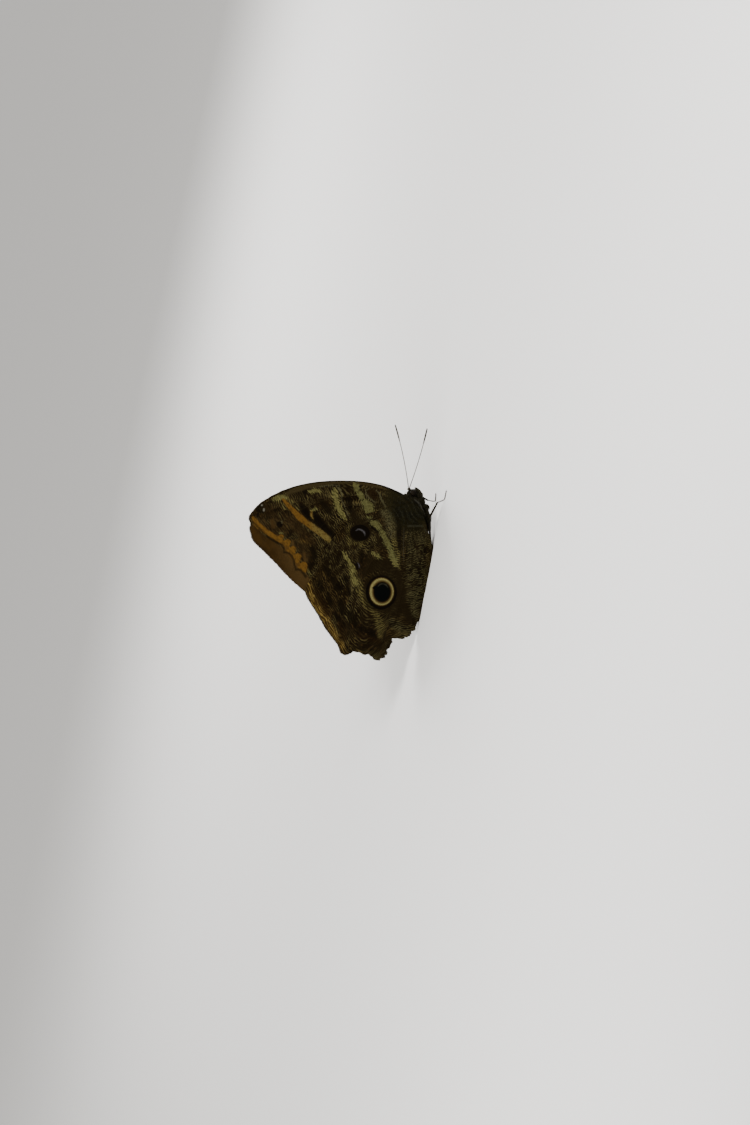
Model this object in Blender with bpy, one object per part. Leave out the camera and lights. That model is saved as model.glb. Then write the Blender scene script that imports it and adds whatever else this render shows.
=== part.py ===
"""Owl butterfly at rest with closed wings, life size.

+X runs forward along the body, +Z up from the floor to the wing tips, and the animal's right side
faces -Y. Sizes are written in millimetres and multiplied by MM. Every sub-part is one closed solid.
"""

import math

import bmesh
import bpy
import numpy as np
from mathutils import Vector

MM = 0.001

# Driving dimensions, in millimetres
GAP = 0.3
WING_THICKNESS = 0.55
WING_SPACING = 1.0
FOREWING_HALF_GAP = 1.05
TUNNEL_REACH_ABOVE = 11.0
TUNNEL_REACH_BELOW = 6.0
# Least half width of the space between the wings along the body: places and widths
TUNNEL_PLACES = (-40.0, -30.0, -12.0, 0.0)
TUNNEL_HALF_WIDTHS = (2.2, 2.8, 3.5, 3.9)
CENTRE_SHIFT_X = 22.26
BODY_SIDES = 18

EYE_RADII = (1.35, 1.05, 1.55)
EYE_CENTRE = (1.15, 2.15, 13.1)
HEAD_CENTRE = (1.0, 0.0, 12.7)
HEAD_RADII = (2.1, 2.2, 2.8)
HEAD_BACK_X = -0.5
HEAD_FRONT_SHARE = 0.985

ANTENNA_SHAFT_RADIUS = 0.26
ANTENNA_CLUB_RADIUS = 0.55
ANTENNA_CLUB_START = 0.74
ANTENNA_BASE = (2.95, 0.85, 15.0)
ANTENNA_SIDE_BOW = 1.1
ANTENNA_STEPS = 14

PROBOSCIS_CENTRE = (1.25, 8.85)
PROBOSCIS_COIL_RADIUS = 0.78
PROBOSCIS_RADIUS = 0.25
PROBOSCIS_TURNS = 0.66

# Body stations from front to back: x, height of the centre, half height, half width
THORAX_STATIONS = (
    (-0.9, 12.65, 2.9, 2.2),
    (-1.6, 12.45, 4.5, 3.2),
    (-2.8, 11.95, 5.2, 3.65),
    (-4.8, 11.1, 5.5, 3.9),
    (-7.2, 10.15, 5.45, 3.9),
    (-9.6, 9.3, 4.9, 3.6),
    (-11.4, 8.8, 4.1, 3.2),
    (-12.4, 8.5, 3.0, 2.6),
)
ABDOMEN_STATIONS = (
    (-12.75, 8.4, 2.5, 2.3),
    (-14.2, 8.1, 3.15, 2.85),
    (-17.0, 7.6, 3.45, 3.1),
    (-21.0, 6.95, 3.5, 3.1),
    (-26.0, 6.1, 3.2, 2.9),
    (-31.0, 5.3, 2.6, 2.35),
    (-34.5, 4.75, 1.8, 1.7),
    (-36.6, 4.45, 0.9, 0.9),
)

# Wing outlines as (x, z) round the wing from the front of its root
FOREWING_ROOT = (-3.0, 14.0)
FOREWING_OUTLINE = (
    (-0.7, 16.6),
    (0.9, 21.3),
    (2.3, 29.0),
    (1.9, 40.0),
    (-1.2, 55.4),
    (-6.4, 68.2),
    (-13.8, 78.4),
    (-19.4, 82.5),
    (-22.2, 83.5),
    (-24.9, 82.3),
    (-27.2, 82.3),
    (-31.9, 79.9),
    (-34.7, 76.0),
    (-40.0, 68.4),
    (-45.2, 61.4),
    (-50.3, 53.0),
    (-51.9, 49.3),
    (-50.6, 46.2),
    (-38.0, 33.5),
    (-22.0, 21.5),
    (-8.6, 12.6),
    (-5.0, 11.4),
    (-2.4, 12.8),
)
HINDWING_ROOT = (-7.5, 14.0)
HINDWING_OUTLINE = (
    (-3.4, 12.6),
    (-4.6, 16.4),
    (-8.0, 24.4),
    (-12.6, 33.6),
    (-19.6, 41.7),
    (-30.0, 47.6),
    (-42.1, 51.4),
    (-48.6, 53.2),
    (-52.8, 51.3),
    (-59.1, 45.6),
    (-65.0, 40.6),
    (-70.7, 34.6),
    (-74.5, 31.9),
    (-74.7, 29.3),
    (-72.7, 27.0),
    (-73.2, 22.4),
    (-72.3, 20.0),
    (-74.8, 17.0),
    (-74.0, 14.4),
    (-72.8, 12.6),
    (-68.4, 11.8),
    (-64.6, 10.8),
    (-63.7, 8.6),
    (-62.9, 5.3),
    (-59.6, 2.9),
    (-55.4, 1.0),
    (-51.0, 0.0),
    (-24.0, 0.0),
    (-19.0, 1.5),
    (-13.9, 4.2),
    (-9.6, 6.3),
    (-6.0, 8.0),
    (-4.3, 10.2),
)
RING_FRACTIONS = (0.1, 0.22, 0.38, 0.6, 1.0)
FOREWING_SAMPLES = 60
HINDWING_SAMPLES = 88

# Limb thickness: radius at hip, knee, ankle, heel and toe, and how high a lying foot's middle is
LEG_RADII = (0.62, 0.42, 0.31, 0.3, 0.3)
FOOT_HEIGHT = 0.21
FORELEG_RADII = (0.34, 0.42, 0.38, 0.27)
PALP_RADII = (0.42, 0.66, 0.62, 0.3)
KNEE_CUT = 1.2


def clear_scene():
    for obj in list(bpy.data.objects):
        bpy.data.objects.remove(obj, do_unlink=True)


def principled(name, colour, roughness):
    """A plain Principled material in linear RGB."""
    material = bpy.data.materials.new(name)
    material.use_nodes = True
    shader = material.node_tree.nodes["Principled BSDF"]
    shader.inputs["Base Color"].default_value = (*colour, 1.0)
    shader.inputs["Roughness"].default_value = roughness
    shader.inputs["Metallic"].default_value = 0.0
    material.diffuse_color = (*colour, 1.0)
    return material


def add_object(name, points, faces, material, parent, smooth_angle=35.0):
    """Makes a mesh object from points in millimetres, with its faces turned outwards."""
    mesh = bpy.data.meshes.new(name)
    mesh.from_pydata([tuple(c * MM for c in p) for p in points], [], faces)
    work = bmesh.new()
    work.from_mesh(mesh)
    bmesh.ops.recalc_face_normals(work, faces=work.faces)
    work.to_mesh(mesh)
    work.free()
    mesh.shade_smooth()
    mesh.set_sharp_from_angle(angle=math.radians(smooth_angle))
    mesh.materials.append(material)
    obj = bpy.data.objects.new(name, mesh)
    bpy.context.scene.collection.objects.link(obj)
    obj.parent = parent
    return obj


def bridge(first, second, count):
    """Quads between two rings of count points that start at these indices."""
    return [
        (first + j, first + (j + 1) % count, second + (j + 1) % count, second + j) for j in range(count)
    ]


def ring_solid(name, rings, material, parent):
    """One closed solid through equal rings of points, with flat ends."""
    count = len(rings[0])
    points = [tuple(p) for ring in rings for p in ring]
    faces = []
    for k in range(len(rings) - 1):
        faces += bridge(k * count, (k + 1) * count, count)
    faces.append(tuple(range(count)))
    faces.append(tuple((len(rings) - 1) * count + j for j in range(count)))
    return add_object(name, points, faces, material, parent)


def body_ring(x, height, half_height, half_width, sides):
    """An upright elliptical section of the body."""
    ring = []
    for j in range(sides):
        turn = 2 * math.pi * j / sides
        ring.append((x, half_width * math.cos(turn), height + half_height * math.sin(turn)))
    return ring


def body_solid(name, stations, sides, material, parent):
    rings = [body_ring(*station, sides) for station in stations]
    return ring_solid(name, rings, material, parent)


def ellipsoid_stations(centre, radii, back_x, front_x, count):
    """Stations of an ellipsoid between two upright planes, closer together towards its front."""
    stations = []
    for k in range(count):
        share = math.sin(0.5 * math.pi * k / (count - 1))
        x = back_x + (front_x - back_x) * share
        scale = math.sqrt(1 - ((x - centre[0]) / radii[0]) ** 2)
        stations.append((x, centre[2], radii[2] * scale, radii[1] * scale))
    return stations


def add_ellipsoid(name, centre, radii, material, parent, segments=18, rings=10):
    mesh = bpy.data.meshes.new(name)
    work = bmesh.new()
    bmesh.ops.create_uvsphere(work, u_segments=segments, v_segments=rings, radius=1.0)
    for vert in work.verts:
        vert.co = Vector((c + r * v) * MM for c, r, v in zip(centre, radii, vert.co))
    work.to_mesh(mesh)
    work.free()
    mesh.shade_smooth()
    mesh.materials.append(material)
    obj = bpy.data.objects.new(name, mesh)
    bpy.context.scene.collection.objects.link(obj)
    obj.parent = parent
    return obj


def cut_away(obj, cutter):
    """Cuts one object from another and leaves the cutter out of the model."""
    cutter.hide_render = True
    cutter.display_type = "WIRE"
    modifier = obj.modifiers.new("Cut", "BOOLEAN")
    modifier.operation = "DIFFERENCE"
    modifier.solver = "EXACT"
    modifier.object = cutter


def rounded_route(joints, cut, arc_points=5):
    """The joints of a limb with each bend turned into an arc that starts cut before it."""
    route = [Vector(joints[0])]
    for before, joint, after in zip(joints, joints[1:], joints[2:]):
        joint = Vector(joint)
        arriving = (joint - Vector(before)).normalized()
        leaving = (Vector(after) - joint).normalized()
        turn = arriving.angle(leaving)
        if turn < math.radians(3):
            route.append(joint)
            continue
        radius = cut / math.tan(turn / 2)
        inward = (leaving - arriving).normalized()
        centre = joint + inward * (radius / math.cos(turn / 2))
        start = joint - arriving * cut
        for k in range(arc_points):
            angle = turn * k / (arc_points - 1)
            route.append(centre + (start - centre) * math.cos(angle) + arriving * (radius * math.sin(angle)))
    route.append(Vector(joints[-1]))
    return route


def along(route):
    """The share of the whole length at each point of a route."""
    lengths = [0.0]
    for a, b in zip(route, route[1:]):
        lengths.append(lengths[-1] + (b - a).length)
    return [length / lengths[-1] for length in lengths]


def tube(name, route, radius_at, sides, material, parent, flatten_floor=False):
    """A closed round tube along a route, with a radius for each share of its length."""
    rings = []
    side = None
    for k, (point, share) in enumerate(zip(route, along(route))):
        ahead = route[min(k + 1, len(route) - 1)] - route[max(k - 1, 0)]
        ahead.normalize()
        if side is None:
            side = ahead.cross(Vector((0, 0, 1)))
        side = (side - ahead * side.dot(ahead)).normalized()
        up = side.cross(ahead)
        radius = radius_at(share)
        ring = []
        for j in range(sides):
            turn = 2 * math.pi * (j + 0.5) / sides
            place = point + side * (radius * math.cos(turn)) + up * (radius * math.sin(turn))
            if flatten_floor:
                place.z = max(place.z, 0.0)
            ring.append(place)
        rings.append(ring)
    return ring_solid(name, rings, material, parent)


def stepped_radius(joints, radii):
    """A radius that runs from one joint's value to the next."""
    shares = along([Vector(j) for j in joints])
    return lambda share: float(np.interp(share, shares, radii))


def add_limb(name, joints, radii, material, parent, sides=8):
    route = rounded_route(joints, KNEE_CUT)
    return tube(name, route, stepped_radius(joints, radii), sides, material, parent, flatten_floor=True)


def mirrored(points, side):
    """Points given for the left side, on the left (1) or right (-1) side."""
    return [(x, y * side, z) for x, y, z in points]


def smooth_loop(corners, samples):
    """Evenly spaced points on a closed Catmull-Rom curve through the corners."""
    corners = np.array(corners)
    dense = []
    for k in range(len(corners)):
        before, start, end, after = (corners[(k + d) % len(corners)] for d in (-1, 0, 1, 2))
        if start[1] == end[1] == 0.0:
            after = end + (end - start)
        t = np.linspace(0, 1, 12, endpoint=False)[:, None]
        dense.append(
            0.5 * (2 * start + (end - before) * t)
            + (before - 2.5 * start + 2 * end - 0.5 * after) * t**2
            + (1.5 * start - 0.5 * before - 1.5 * end + 0.5 * after) * t**3
        )
    dense = np.concatenate(dense)
    dense[:, 1] = np.maximum(dense[:, 1], 0.0)
    steps = np.linalg.norm(np.roll(dense, -1, axis=0) - dense, axis=1)
    places = np.concatenate([[0.0], np.cumsum(steps)])
    wanted = np.linspace(0, places[-1], samples, endpoint=False)
    closed = np.concatenate([dense, dense[:1]])
    return np.stack([np.interp(wanted, places, closed[:, axis]) for axis in (0, 1)], axis=1)


def forewing_offset(x, z):
    """How far the forewing's middle surface lies from the middle plane: close to the other wing far
    out, and opened into a tunnel round thorax and abdomen."""
    stations = np.array(THORAX_STATIONS + ABDOMEN_STATIONS)[::-1]
    along_body = np.clip(x, stations[0, 0], stations[-1, 0])
    places = stations[:, 0]
    height, half_height, half_width = (np.interp(along_body, places, stations[:, k]) for k in (1, 2, 3))
    half_width = np.maximum(half_width, np.interp(along_body, TUNNEL_PLACES, TUNNEL_HALF_WIDTHS))
    beyond = np.hypot(x - along_body, z - height) - half_height
    level = min(1.0, max(0.0, (z - height) / TUNNEL_REACH_ABOVE + 0.5))
    reach = TUNNEL_REACH_BELOW + (TUNNEL_REACH_ABOVE - TUNNEL_REACH_BELOW) * level * level * (3 - 2 * level)
    opened = half_width + GAP + WING_THICKNESS / 2 - FOREWING_HALF_GAP
    return FOREWING_HALF_GAP + opened * math.exp(-((max(beyond, 0.0) / reach) ** 2))


def wing_solid(name, root, outline, samples, extra_offset, side, material, parent):
    """A thin curved plate that fans out from its root to its outline."""
    rim = smooth_loop(outline, samples)
    root = np.array(root)
    flat = [root] + [root + (edge - root) * share for share in RING_FRACTIONS for edge in rim]
    flat = np.array(flat)
    middle = np.array([forewing_offset(x, z) + extra_offset for x, z in flat])
    points = []
    for half in (WING_THICKNESS / 2, -WING_THICKNESS / 2):
        points += [(x, side * (y + half), z) for (x, z), y in zip(flat, middle)]
    faces = []
    for layer in (0, len(flat)):
        faces += [(layer, layer + 1 + j, layer + 1 + (j + 1) % samples) for j in range(samples)]
        for k in range(len(RING_FRACTIONS) - 1):
            faces += bridge(layer + 1 + k * samples, layer + 1 + (k + 1) * samples, samples)
    last = 1 + (len(RING_FRACTIONS) - 1) * samples
    faces += bridge(last, len(flat) + last, samples)
    return add_object(name, points, faces, material, parent)


def antenna_route(tip, bow, side):
    """A bowed line from the head to the tip of one antenna."""
    base = Vector((ANTENNA_BASE[0], ANTENNA_BASE[1] * side, ANTENNA_BASE[2]))
    route = []
    for k in range(ANTENNA_STEPS + 1):
        share = k / ANTENNA_STEPS
        point = base.lerp(Vector(tip), share)
        point.z += bow * 4 * share * (1 - share)
        point.y += side * ANTENNA_SIDE_BOW * 4 * share * (1 - share)
        route.append(point)
    return route


def antenna_radius(share):
    """A thin shaft that swells into a slender club and narrows again at its tip."""
    club = max(0.0, (share - ANTENNA_CLUB_START) / (1 - ANTENNA_CLUB_START))
    swell = math.sin(math.pi * min(1.0, club**0.8) * 0.82)
    return ANTENNA_SHAFT_RADIUS + (ANTENNA_CLUB_RADIUS - ANTENNA_SHAFT_RADIUS) * swell


def add_body(parent, fur, dark):
    body_solid("thorax", THORAX_STATIONS, BODY_SIDES, fur, parent)
    body_solid("abdomen", ABDOMEN_STATIONS, BODY_SIDES, fur, parent)
    front_x = HEAD_CENTRE[0] + HEAD_RADII[0] * HEAD_FRONT_SHARE
    stations = ellipsoid_stations(HEAD_CENTRE, HEAD_RADII, HEAD_BACK_X, front_x, 9)
    head = body_solid("head", stations, BODY_SIDES, fur, parent)
    for side, word in ((1, "left"), (-1, "right")):
        centre = (EYE_CENTRE[0], EYE_CENTRE[1] * side, EYE_CENTRE[2])
        add_ellipsoid(f"eye_{word}", centre, EYE_RADII, dark, parent)
        socket = add_ellipsoid(
            f"socket_cutter_{word}", centre, [r + GAP for r in EYE_RADII], dark, parent, 16, 10
        )
        cut_away(head, socket)


def add_mouthparts(parent, fur, dark):
    for side, word in ((1, "left"), (-1, "right")):
        joints = mirrored(((-0.1, 1.15, 9.75), (0.85, 1.2, 8.9), (2.55, 1.2, 10.3), (4.05, 1.1, 12.75)), side)
        route = rounded_route(joints, 0.55)
        tube(f"palp_{word}", route, stepped_radius(joints, PALP_RADII), 10, fur, parent)
    route = []
    for k in range(11):
        share = k / 10
        turn = 2 * math.pi * PROBOSCIS_TURNS * share - 0.6 * math.pi
        reach = PROBOSCIS_COIL_RADIUS * (1 - 0.4 * share)
        centre_x, centre_z = PROBOSCIS_CENTRE
        route.append(Vector((centre_x + reach * math.cos(-turn), 0, centre_z + reach * math.sin(-turn))))
    tube("proboscis", route, lambda share: PROBOSCIS_RADIUS, 8, dark, parent)


def add_antennae(parent, horn):
    for side, word, tip, bow in (
        (1, "left", (30.2, 15.0, 23.3), -0.9),
        (-1, "right", (30.1, -15.0, 14.6), -0.25),
    ):
        tube(f"antenna_{word}", antenna_route(tip, bow, side), antenna_radius, 8, horn, parent)


def add_legs(parent, horn, fur):
    right_middle = (
        (-3.6, -2.0, 5.75),
        (-8.3, -7.0, 4.9),
        (-1.2, -9.2, 3.0),
        (0.9, -9.8, FOOT_HEIGHT),
        (4.6, -10.3, FOOT_HEIGHT),
    )
    left_middle = (
        (-3.6, 2.0, 5.75),
        (1.6, 6.6, 10.6),
        (-0.7, 8.4, 3.9),
        (-0.3, 9.3, FOOT_HEIGHT),
        (2.9, 11.2, FOOT_HEIGHT),
    )
    add_limb("midleg_right", right_middle, LEG_RADII, horn, parent)
    add_limb("midleg_left", left_middle, LEG_RADII, horn, parent)
    for side, word in ((1, "left"), (-1, "right")):
        hind = (
            (-8.7, 1.6, 3.7),
            (-15.2, 3.0, 2.7),
            (-21.0, 2.8, 0.9),
            (-23.2, 2.7, FOOT_HEIGHT),
            (-27.6, 2.3, FOOT_HEIGHT),
        )
        add_limb(f"hindleg_{word}", mirrored(hind, side), LEG_RADII, horn, parent)
        fore = ((-1.55, 4.15, 12.6), (-2.9, 4.35, 10.3), (-5.2, 4.1, 8.3), (-7.0, 3.75, 7.1))
        add_limb(f"foreleg_{word}", mirrored(fore, side), FORELEG_RADII, fur, parent, sides=8)


def add_wings(parent, fore_scales, hind_scales):
    for side, word in ((1, "left"), (-1, "right")):
        wing_solid(
            f"forewing_{word}",
            FOREWING_ROOT,
            FOREWING_OUTLINE,
            FOREWING_SAMPLES,
            0.0,
            side,
            fore_scales,
            parent,
        )
        wing_solid(
            f"hindwing_{word}",
            HINDWING_ROOT,
            HINDWING_OUTLINE,
            HINDWING_SAMPLES,
            WING_SPACING,
            side,
            hind_scales,
            parent,
        )


def main():
    clear_scene()
    origin = bpy.data.objects.new("origin", None)
    origin.location = (CENTRE_SHIFT_X * MM, 0, 0)
    bpy.context.scene.collection.objects.link(origin)
    fur = principled("brown_fur", (0.09, 0.065, 0.035), 0.85)
    dark = principled("dark_eye", (0.03, 0.02, 0.015), 0.3)
    horn = principled("leg_horn", (0.12, 0.06, 0.03), 0.55)
    fore_scales = principled("forewing_scales", (0.16, 0.12, 0.05), 0.75)
    hind_scales = principled("hindwing_scales", (0.12, 0.09, 0.045), 0.75)
    add_body(origin, fur, dark)
    add_mouthparts(origin, fur, dark)
    add_antennae(origin, horn)
    add_legs(origin, horn, fur)
    add_wings(origin, fore_scales, hind_scales)


main()
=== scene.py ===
"""Looks of a life-size owl butterfly at rest with closed wings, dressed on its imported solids.

Sizes and places are millimetres in the animal's own frame: +X forward along the body, +Y to its left,
+Z up from the floor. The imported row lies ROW_SHIFT_X further forward, and to_row() turns points into
the row's metres. Wing markings are written where the photograph shows them, in its pixels, and
PhotoView turns those into places on the right wings. The left wings mirror the right ones.
"""

import logging
import math
from collections.abc import Callable, Iterable, Sequence
from dataclasses import dataclass, field, fields
from enum import Enum, StrEnum

import bpy
import numpy as np
from mathutils import Matrix, Vector
from mathutils.geometry import delaunay_2d_cdt


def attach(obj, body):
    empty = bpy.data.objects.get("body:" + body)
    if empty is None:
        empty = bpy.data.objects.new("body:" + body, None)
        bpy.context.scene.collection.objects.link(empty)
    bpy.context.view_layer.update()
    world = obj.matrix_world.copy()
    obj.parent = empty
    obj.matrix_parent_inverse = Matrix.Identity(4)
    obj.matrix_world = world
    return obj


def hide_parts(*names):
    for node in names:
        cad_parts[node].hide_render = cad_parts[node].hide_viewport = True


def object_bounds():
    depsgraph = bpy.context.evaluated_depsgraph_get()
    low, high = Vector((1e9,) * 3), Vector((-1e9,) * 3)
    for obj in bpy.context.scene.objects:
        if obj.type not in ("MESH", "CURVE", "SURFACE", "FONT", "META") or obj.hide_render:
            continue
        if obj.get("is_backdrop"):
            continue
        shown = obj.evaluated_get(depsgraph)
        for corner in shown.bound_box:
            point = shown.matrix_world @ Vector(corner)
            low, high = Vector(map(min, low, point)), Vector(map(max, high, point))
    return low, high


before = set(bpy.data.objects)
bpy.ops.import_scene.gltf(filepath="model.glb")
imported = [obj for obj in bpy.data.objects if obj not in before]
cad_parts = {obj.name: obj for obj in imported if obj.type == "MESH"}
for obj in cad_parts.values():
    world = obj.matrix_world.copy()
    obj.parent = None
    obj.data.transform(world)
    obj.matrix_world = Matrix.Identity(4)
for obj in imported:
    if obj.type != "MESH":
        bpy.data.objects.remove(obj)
CAD_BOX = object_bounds()

LOG = logging.getLogger("owl_butterfly")
MM = 0.001
FULL_TURN = 2 * math.pi
ROW_SHIFT_X = 22.26
BODY = "root"
BAKE_MAP = "OFBake"
BAKE_PATCH = 0.003
# How many places are measured at a time, which bounds the memory used
PLACES_AT_ONCE = 4000

Colour = tuple[float, float, float]
Point2 = tuple[float, float]
Point3 = tuple[float, float, float]
Array = np.ndarray
Material = bpy.types.Material
Object = bpy.types.Object
Faces = list[list[int]]
Shape = tuple[Array, Faces]
Numbers = tuple[float, ...]
Oval = tuple[Point3, Point3]
Tints = tuple[Colour, Colour]
Line = tuple[Point2, ...]

# The trunk's solids from front to back: x, height of the centre, half height, half width
THORAX_STATIONS = (
    (-0.9, 12.65, 2.9, 2.2), (-1.6, 12.45, 4.5, 3.2), (-2.8, 11.95, 5.2, 3.65), (-4.8, 11.1, 5.5, 3.9),
    (-7.2, 10.15, 5.45, 3.9), (-9.6, 9.3, 4.9, 3.6), (-11.4, 8.8, 4.1, 3.2), (-12.4, 8.5, 3, 2.6),
)
ABDOMEN_STATIONS = (
    (-12.75, 8.4, 2.5, 2.3), (-14.2, 8.1, 3.15, 2.85), (-17, 7.6, 3.45, 3.1), (-21, 6.95, 3.5, 3.1),
    (-26, 6.1, 3.2, 2.9), (-31, 5.3, 2.6, 2.35), (-34.5, 4.75, 1.8, 1.7), (-36.6, 4.45, 0.9, 0.9),
)


def to_row(points: Sequence | Array) -> Array:
    """Animal millimetres as row metres."""
    return (np.asarray(points, float) + (ROW_SHIFT_X, 0.0, 0.0)) * MM


def columns(*numbers: Array) -> Array:
    """Numbers side by side, one row for each place."""
    return np.stack(numbers, axis=-1)


def unit(vectors: Array) -> Array:
    """Vectors at length one."""
    return vectors / np.maximum(np.linalg.norm(vectors, axis=1), 1e-9)[:, None]


def blend_step(value: Array, low: float, high: float) -> Array:
    """A smooth step from 0 at low to 1 at high."""
    share = np.clip((value - low) / (high - low), 0.0, 1.0)
    return share * share * (3.0 - 2.0 * share)


def travelled(points: Array) -> Array:
    """Distance along a line from its first point to each point."""
    return np.concatenate([[0.0], np.cumsum(np.linalg.norm(np.diff(points, axis=0), axis=1))])


def bend(before: Array, start: Array, end: Array, after: Array, t: Array) -> Array:
    """Points of a Catmull-Rom curve.

    Args:
        before: The corner before the stretch.
        start: The stretch's first corner.
        end: Its last corner.
        after: The corner after it.
        t: Shares of the way from start to end.

    Returns:
        One point for each share.
    """
    return (
        0.5 * (2 * start + (end - before) * t)
        + (before - 2.5 * start + 2 * end - 0.5 * after) * t**2
        + (1.5 * start - 0.5 * before - 1.5 * end + 0.5 * after) * t**3
    )


def smooth_line(corners: Sequence[Sequence[float]] | Array, step: float) -> tuple[Array, Array]:
    """A smooth line through its corners.

    Args:
        corners: The points that the line passes through, with any number of columns.
        step: Greatest spacing of the points that are returned.

    Returns:
        The line's points, and each one's share of the way from the first corner to the last.
    """
    corners = np.asarray(corners, float)
    if len(corners) == 1:
        return corners, np.zeros(1)
    padded = np.vstack([2 * corners[0] - corners[1], corners, 2 * corners[-1] - corners[-2]])
    points, shares = [], []
    for k in range(1, len(padded) - 2):
        before, start, end, after = padded[k - 1 : k + 3]
        count = max(2, int(math.ceil(np.linalg.norm(end - start) / step)))
        t = np.linspace(0, 1, count, endpoint=False)[:, None]
        points.append(bend(before, start, end, after, t))
        shares.append((k - 1 + t[:, 0]) / (len(corners) - 1))
    return np.concatenate([*points, corners[-1:]]), np.concatenate([*shares, np.ones(1)])


def smooth_loop(corners: Sequence[Point2], samples: int) -> Array:
    """A smooth closed curve that keeps its straight stretch on the floor.

    Args:
        corners: The points that it passes through.
        samples: How many points are returned.

    Returns:
        The curve's points, evenly spaced.
    """
    corners = np.array(corners)
    dense, t = [], np.linspace(0, 1, 40, endpoint=False)[:, None]
    for k in range(len(corners)):
        before, start, end, after = (corners[(k + d) % len(corners)] for d in (-1, 0, 1, 2))
        if start[1] == end[1] == 0.0:
            after = end + (end - start)
        dense.append(bend(before, start, end, after, t))
    dense = np.concatenate(dense)
    dense[:, 1] = np.maximum(dense[:, 1], 0.0)
    closed = np.concatenate([dense, dense[:1]])
    places = travelled(closed)
    wanted = np.linspace(0, places[-1], samples, endpoint=False)
    return columns(*(np.interp(wanted, places, closed[:, axis]) for axis in (0, 1)))


@dataclass(frozen=True)
class WingSheet:
    """Sizes that all wings share, in millimetres.

    They are the solids' plates and gap, the opening round the trunk, the sheet's half thickness with its
    swelling at the root, its sag between veins, its waves, the veins' height at the foot and what it
    loses to the end, the depth of wear on the rim and what is added where it is torn, and the middle
    that the ripples run round.
    """

    plate: float = 0.55
    half_gap: float = 1.05
    clearance: float = 0.3
    reach_above: float = 11.0
    reach_below: float = 6.0
    tunnel_places: Numbers = (-40.0, -30.0, -12.0, 0.0)
    tunnel_widths: Numbers = (2.2, 2.8, 3.5, 3.9)
    skin: float = 0.07
    root_swell: float = 0.12
    root_fade: float = 9.0
    sag: float = 0.1
    waves: Point2 = (0.16, 0.08)
    vein_height: Point2 = (0.24, 0.15)
    wear: Point2 = (0.07, 0.42)
    lay_centre: Point2 = (-4.0, 14.0)
    lay_radius: float = 35.0

    def tunnel(self, x: Array, z: Array) -> Array:
        """How far the forewing's middle surface lies from the middle plane, opened round the trunk.

        Args:
            x: How far ahead each place lies.
            z: How high it lies.

        Returns:
            One distance for each place.
        """
        stations = np.array(THORAX_STATIONS + ABDOMEN_STATIONS)[::-1]
        along = np.clip(x, stations[0, 0], stations[-1, 0])
        height, high, wide = (np.interp(along, stations[:, 0], stations[:, k]) for k in (1, 2, 3))
        wide = np.maximum(wide, np.interp(along, self.tunnel_places, self.tunnel_widths))
        beyond = np.maximum(np.hypot(x - along, z - height) - high, 0.0)
        level = blend_step((z - height) / self.reach_above + 0.5, 0.0, 1.0)
        reach = self.reach_below + (self.reach_above - self.reach_below) * level
        opened = wide + self.clearance + self.plate / 2 - self.half_gap
        return self.half_gap + opened * np.exp(-((beyond / reach) ** 2))


SHEET = WingSheet()


@dataclass(frozen=True)
class PhotoView:
    """The photograph's view of the animal: its pixels on the wings, and the camera that looks so."""

    mm_per_pixel: float = 0.4444
    width_px: float = 750.0
    height_px: float = 1125.0
    origin_px: Point2 = (440.4, 500.5)
    elevation_deg: float = 11.0
    roll_deg: float = -79.94
    distance_mm: float = 1900.0
    sensor_mm: float = 36.0
    clip_m: Point2 = (0.05, 50.0)

    @property
    def elevation(self) -> float:
        """The camera's elevation in radians."""
        return math.radians(self.elevation_deg)

    def axes(self) -> tuple[Array, Array, Array]:
        """The picture's axes.

        Returns:
            Its right and up, and the way the camera looks.
        """
        roll = math.radians(self.roll_deg)
        level = np.array([1.0, 0.0, 0.0])
        upright = np.array([0.0, math.sin(self.elevation), math.cos(self.elevation)])
        forward = np.array([0.0, math.cos(self.elevation), -math.sin(self.elevation)])
        right = level * math.cos(roll) + upright * math.sin(roll)
        up = upright * math.cos(roll) - level * math.sin(roll)
        return right, up, forward

    def in_plane(self, pixels: Array) -> Array:
        """Pixels in the picture's plane.

        Args:
            pixels: Points of the photograph.

        Returns:
            Millimetres ahead of and above the animal's origin.
        """
        right, up, _ = self.axes()
        across, down = ((pixels - self.origin_px) * self.mm_per_pixel).T
        raised = (right[2] * across - up[2] * down) / math.cos(self.elevation)
        return columns(right[0] * across - up[0] * down, raised)

    def on_wing(self, pixels: Sequence | Array, extra: float) -> Array:
        """Pixels as places on a right wing.

        Args:
            pixels: Points of the photograph.
            extra: How far outside the forewing's surface the wing lies.

        Returns:
            The places' x and z in millimetres.
        """
        ahead, raised = self.in_plane(np.asarray(pixels, float)).T
        height = raised / math.cos(self.elevation)
        for _ in range(6):
            offset = SHEET.tunnel(ahead, height) + extra
            height = (raised + offset * math.sin(self.elevation)) / math.cos(self.elevation)
        return columns(ahead, height)

    def add_camera(self) -> None:
        """Makes the camera, with the photograph's framing."""
        right, up, forward = self.axes()
        ahead, raised = self.in_plane(np.array([[self.width_px / 2, self.height_px / 2]]))[0]
        camera = bpy.data.cameras.new("camera")
        camera.sensor_width = self.sensor_mm
        camera.lens = self.sensor_mm * self.distance_mm / (self.height_px * self.mm_per_pixel)
        camera.clip_start, camera.clip_end = self.clip_m
        camera.dof.use_dof = False
        obj = link(bpy.data.objects.new("camera", camera))
        aim = np.array([ahead, 0.0, raised / math.cos(self.elevation)])
        turn = Matrix(np.stack([right, up, -forward], axis=1).tolist()).to_4x4()
        place = Matrix.Translation(Vector(to_row(aim - forward * self.distance_mm)))
        obj.matrix_world = place @ turn
        bpy.context.scene.camera = obj


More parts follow.
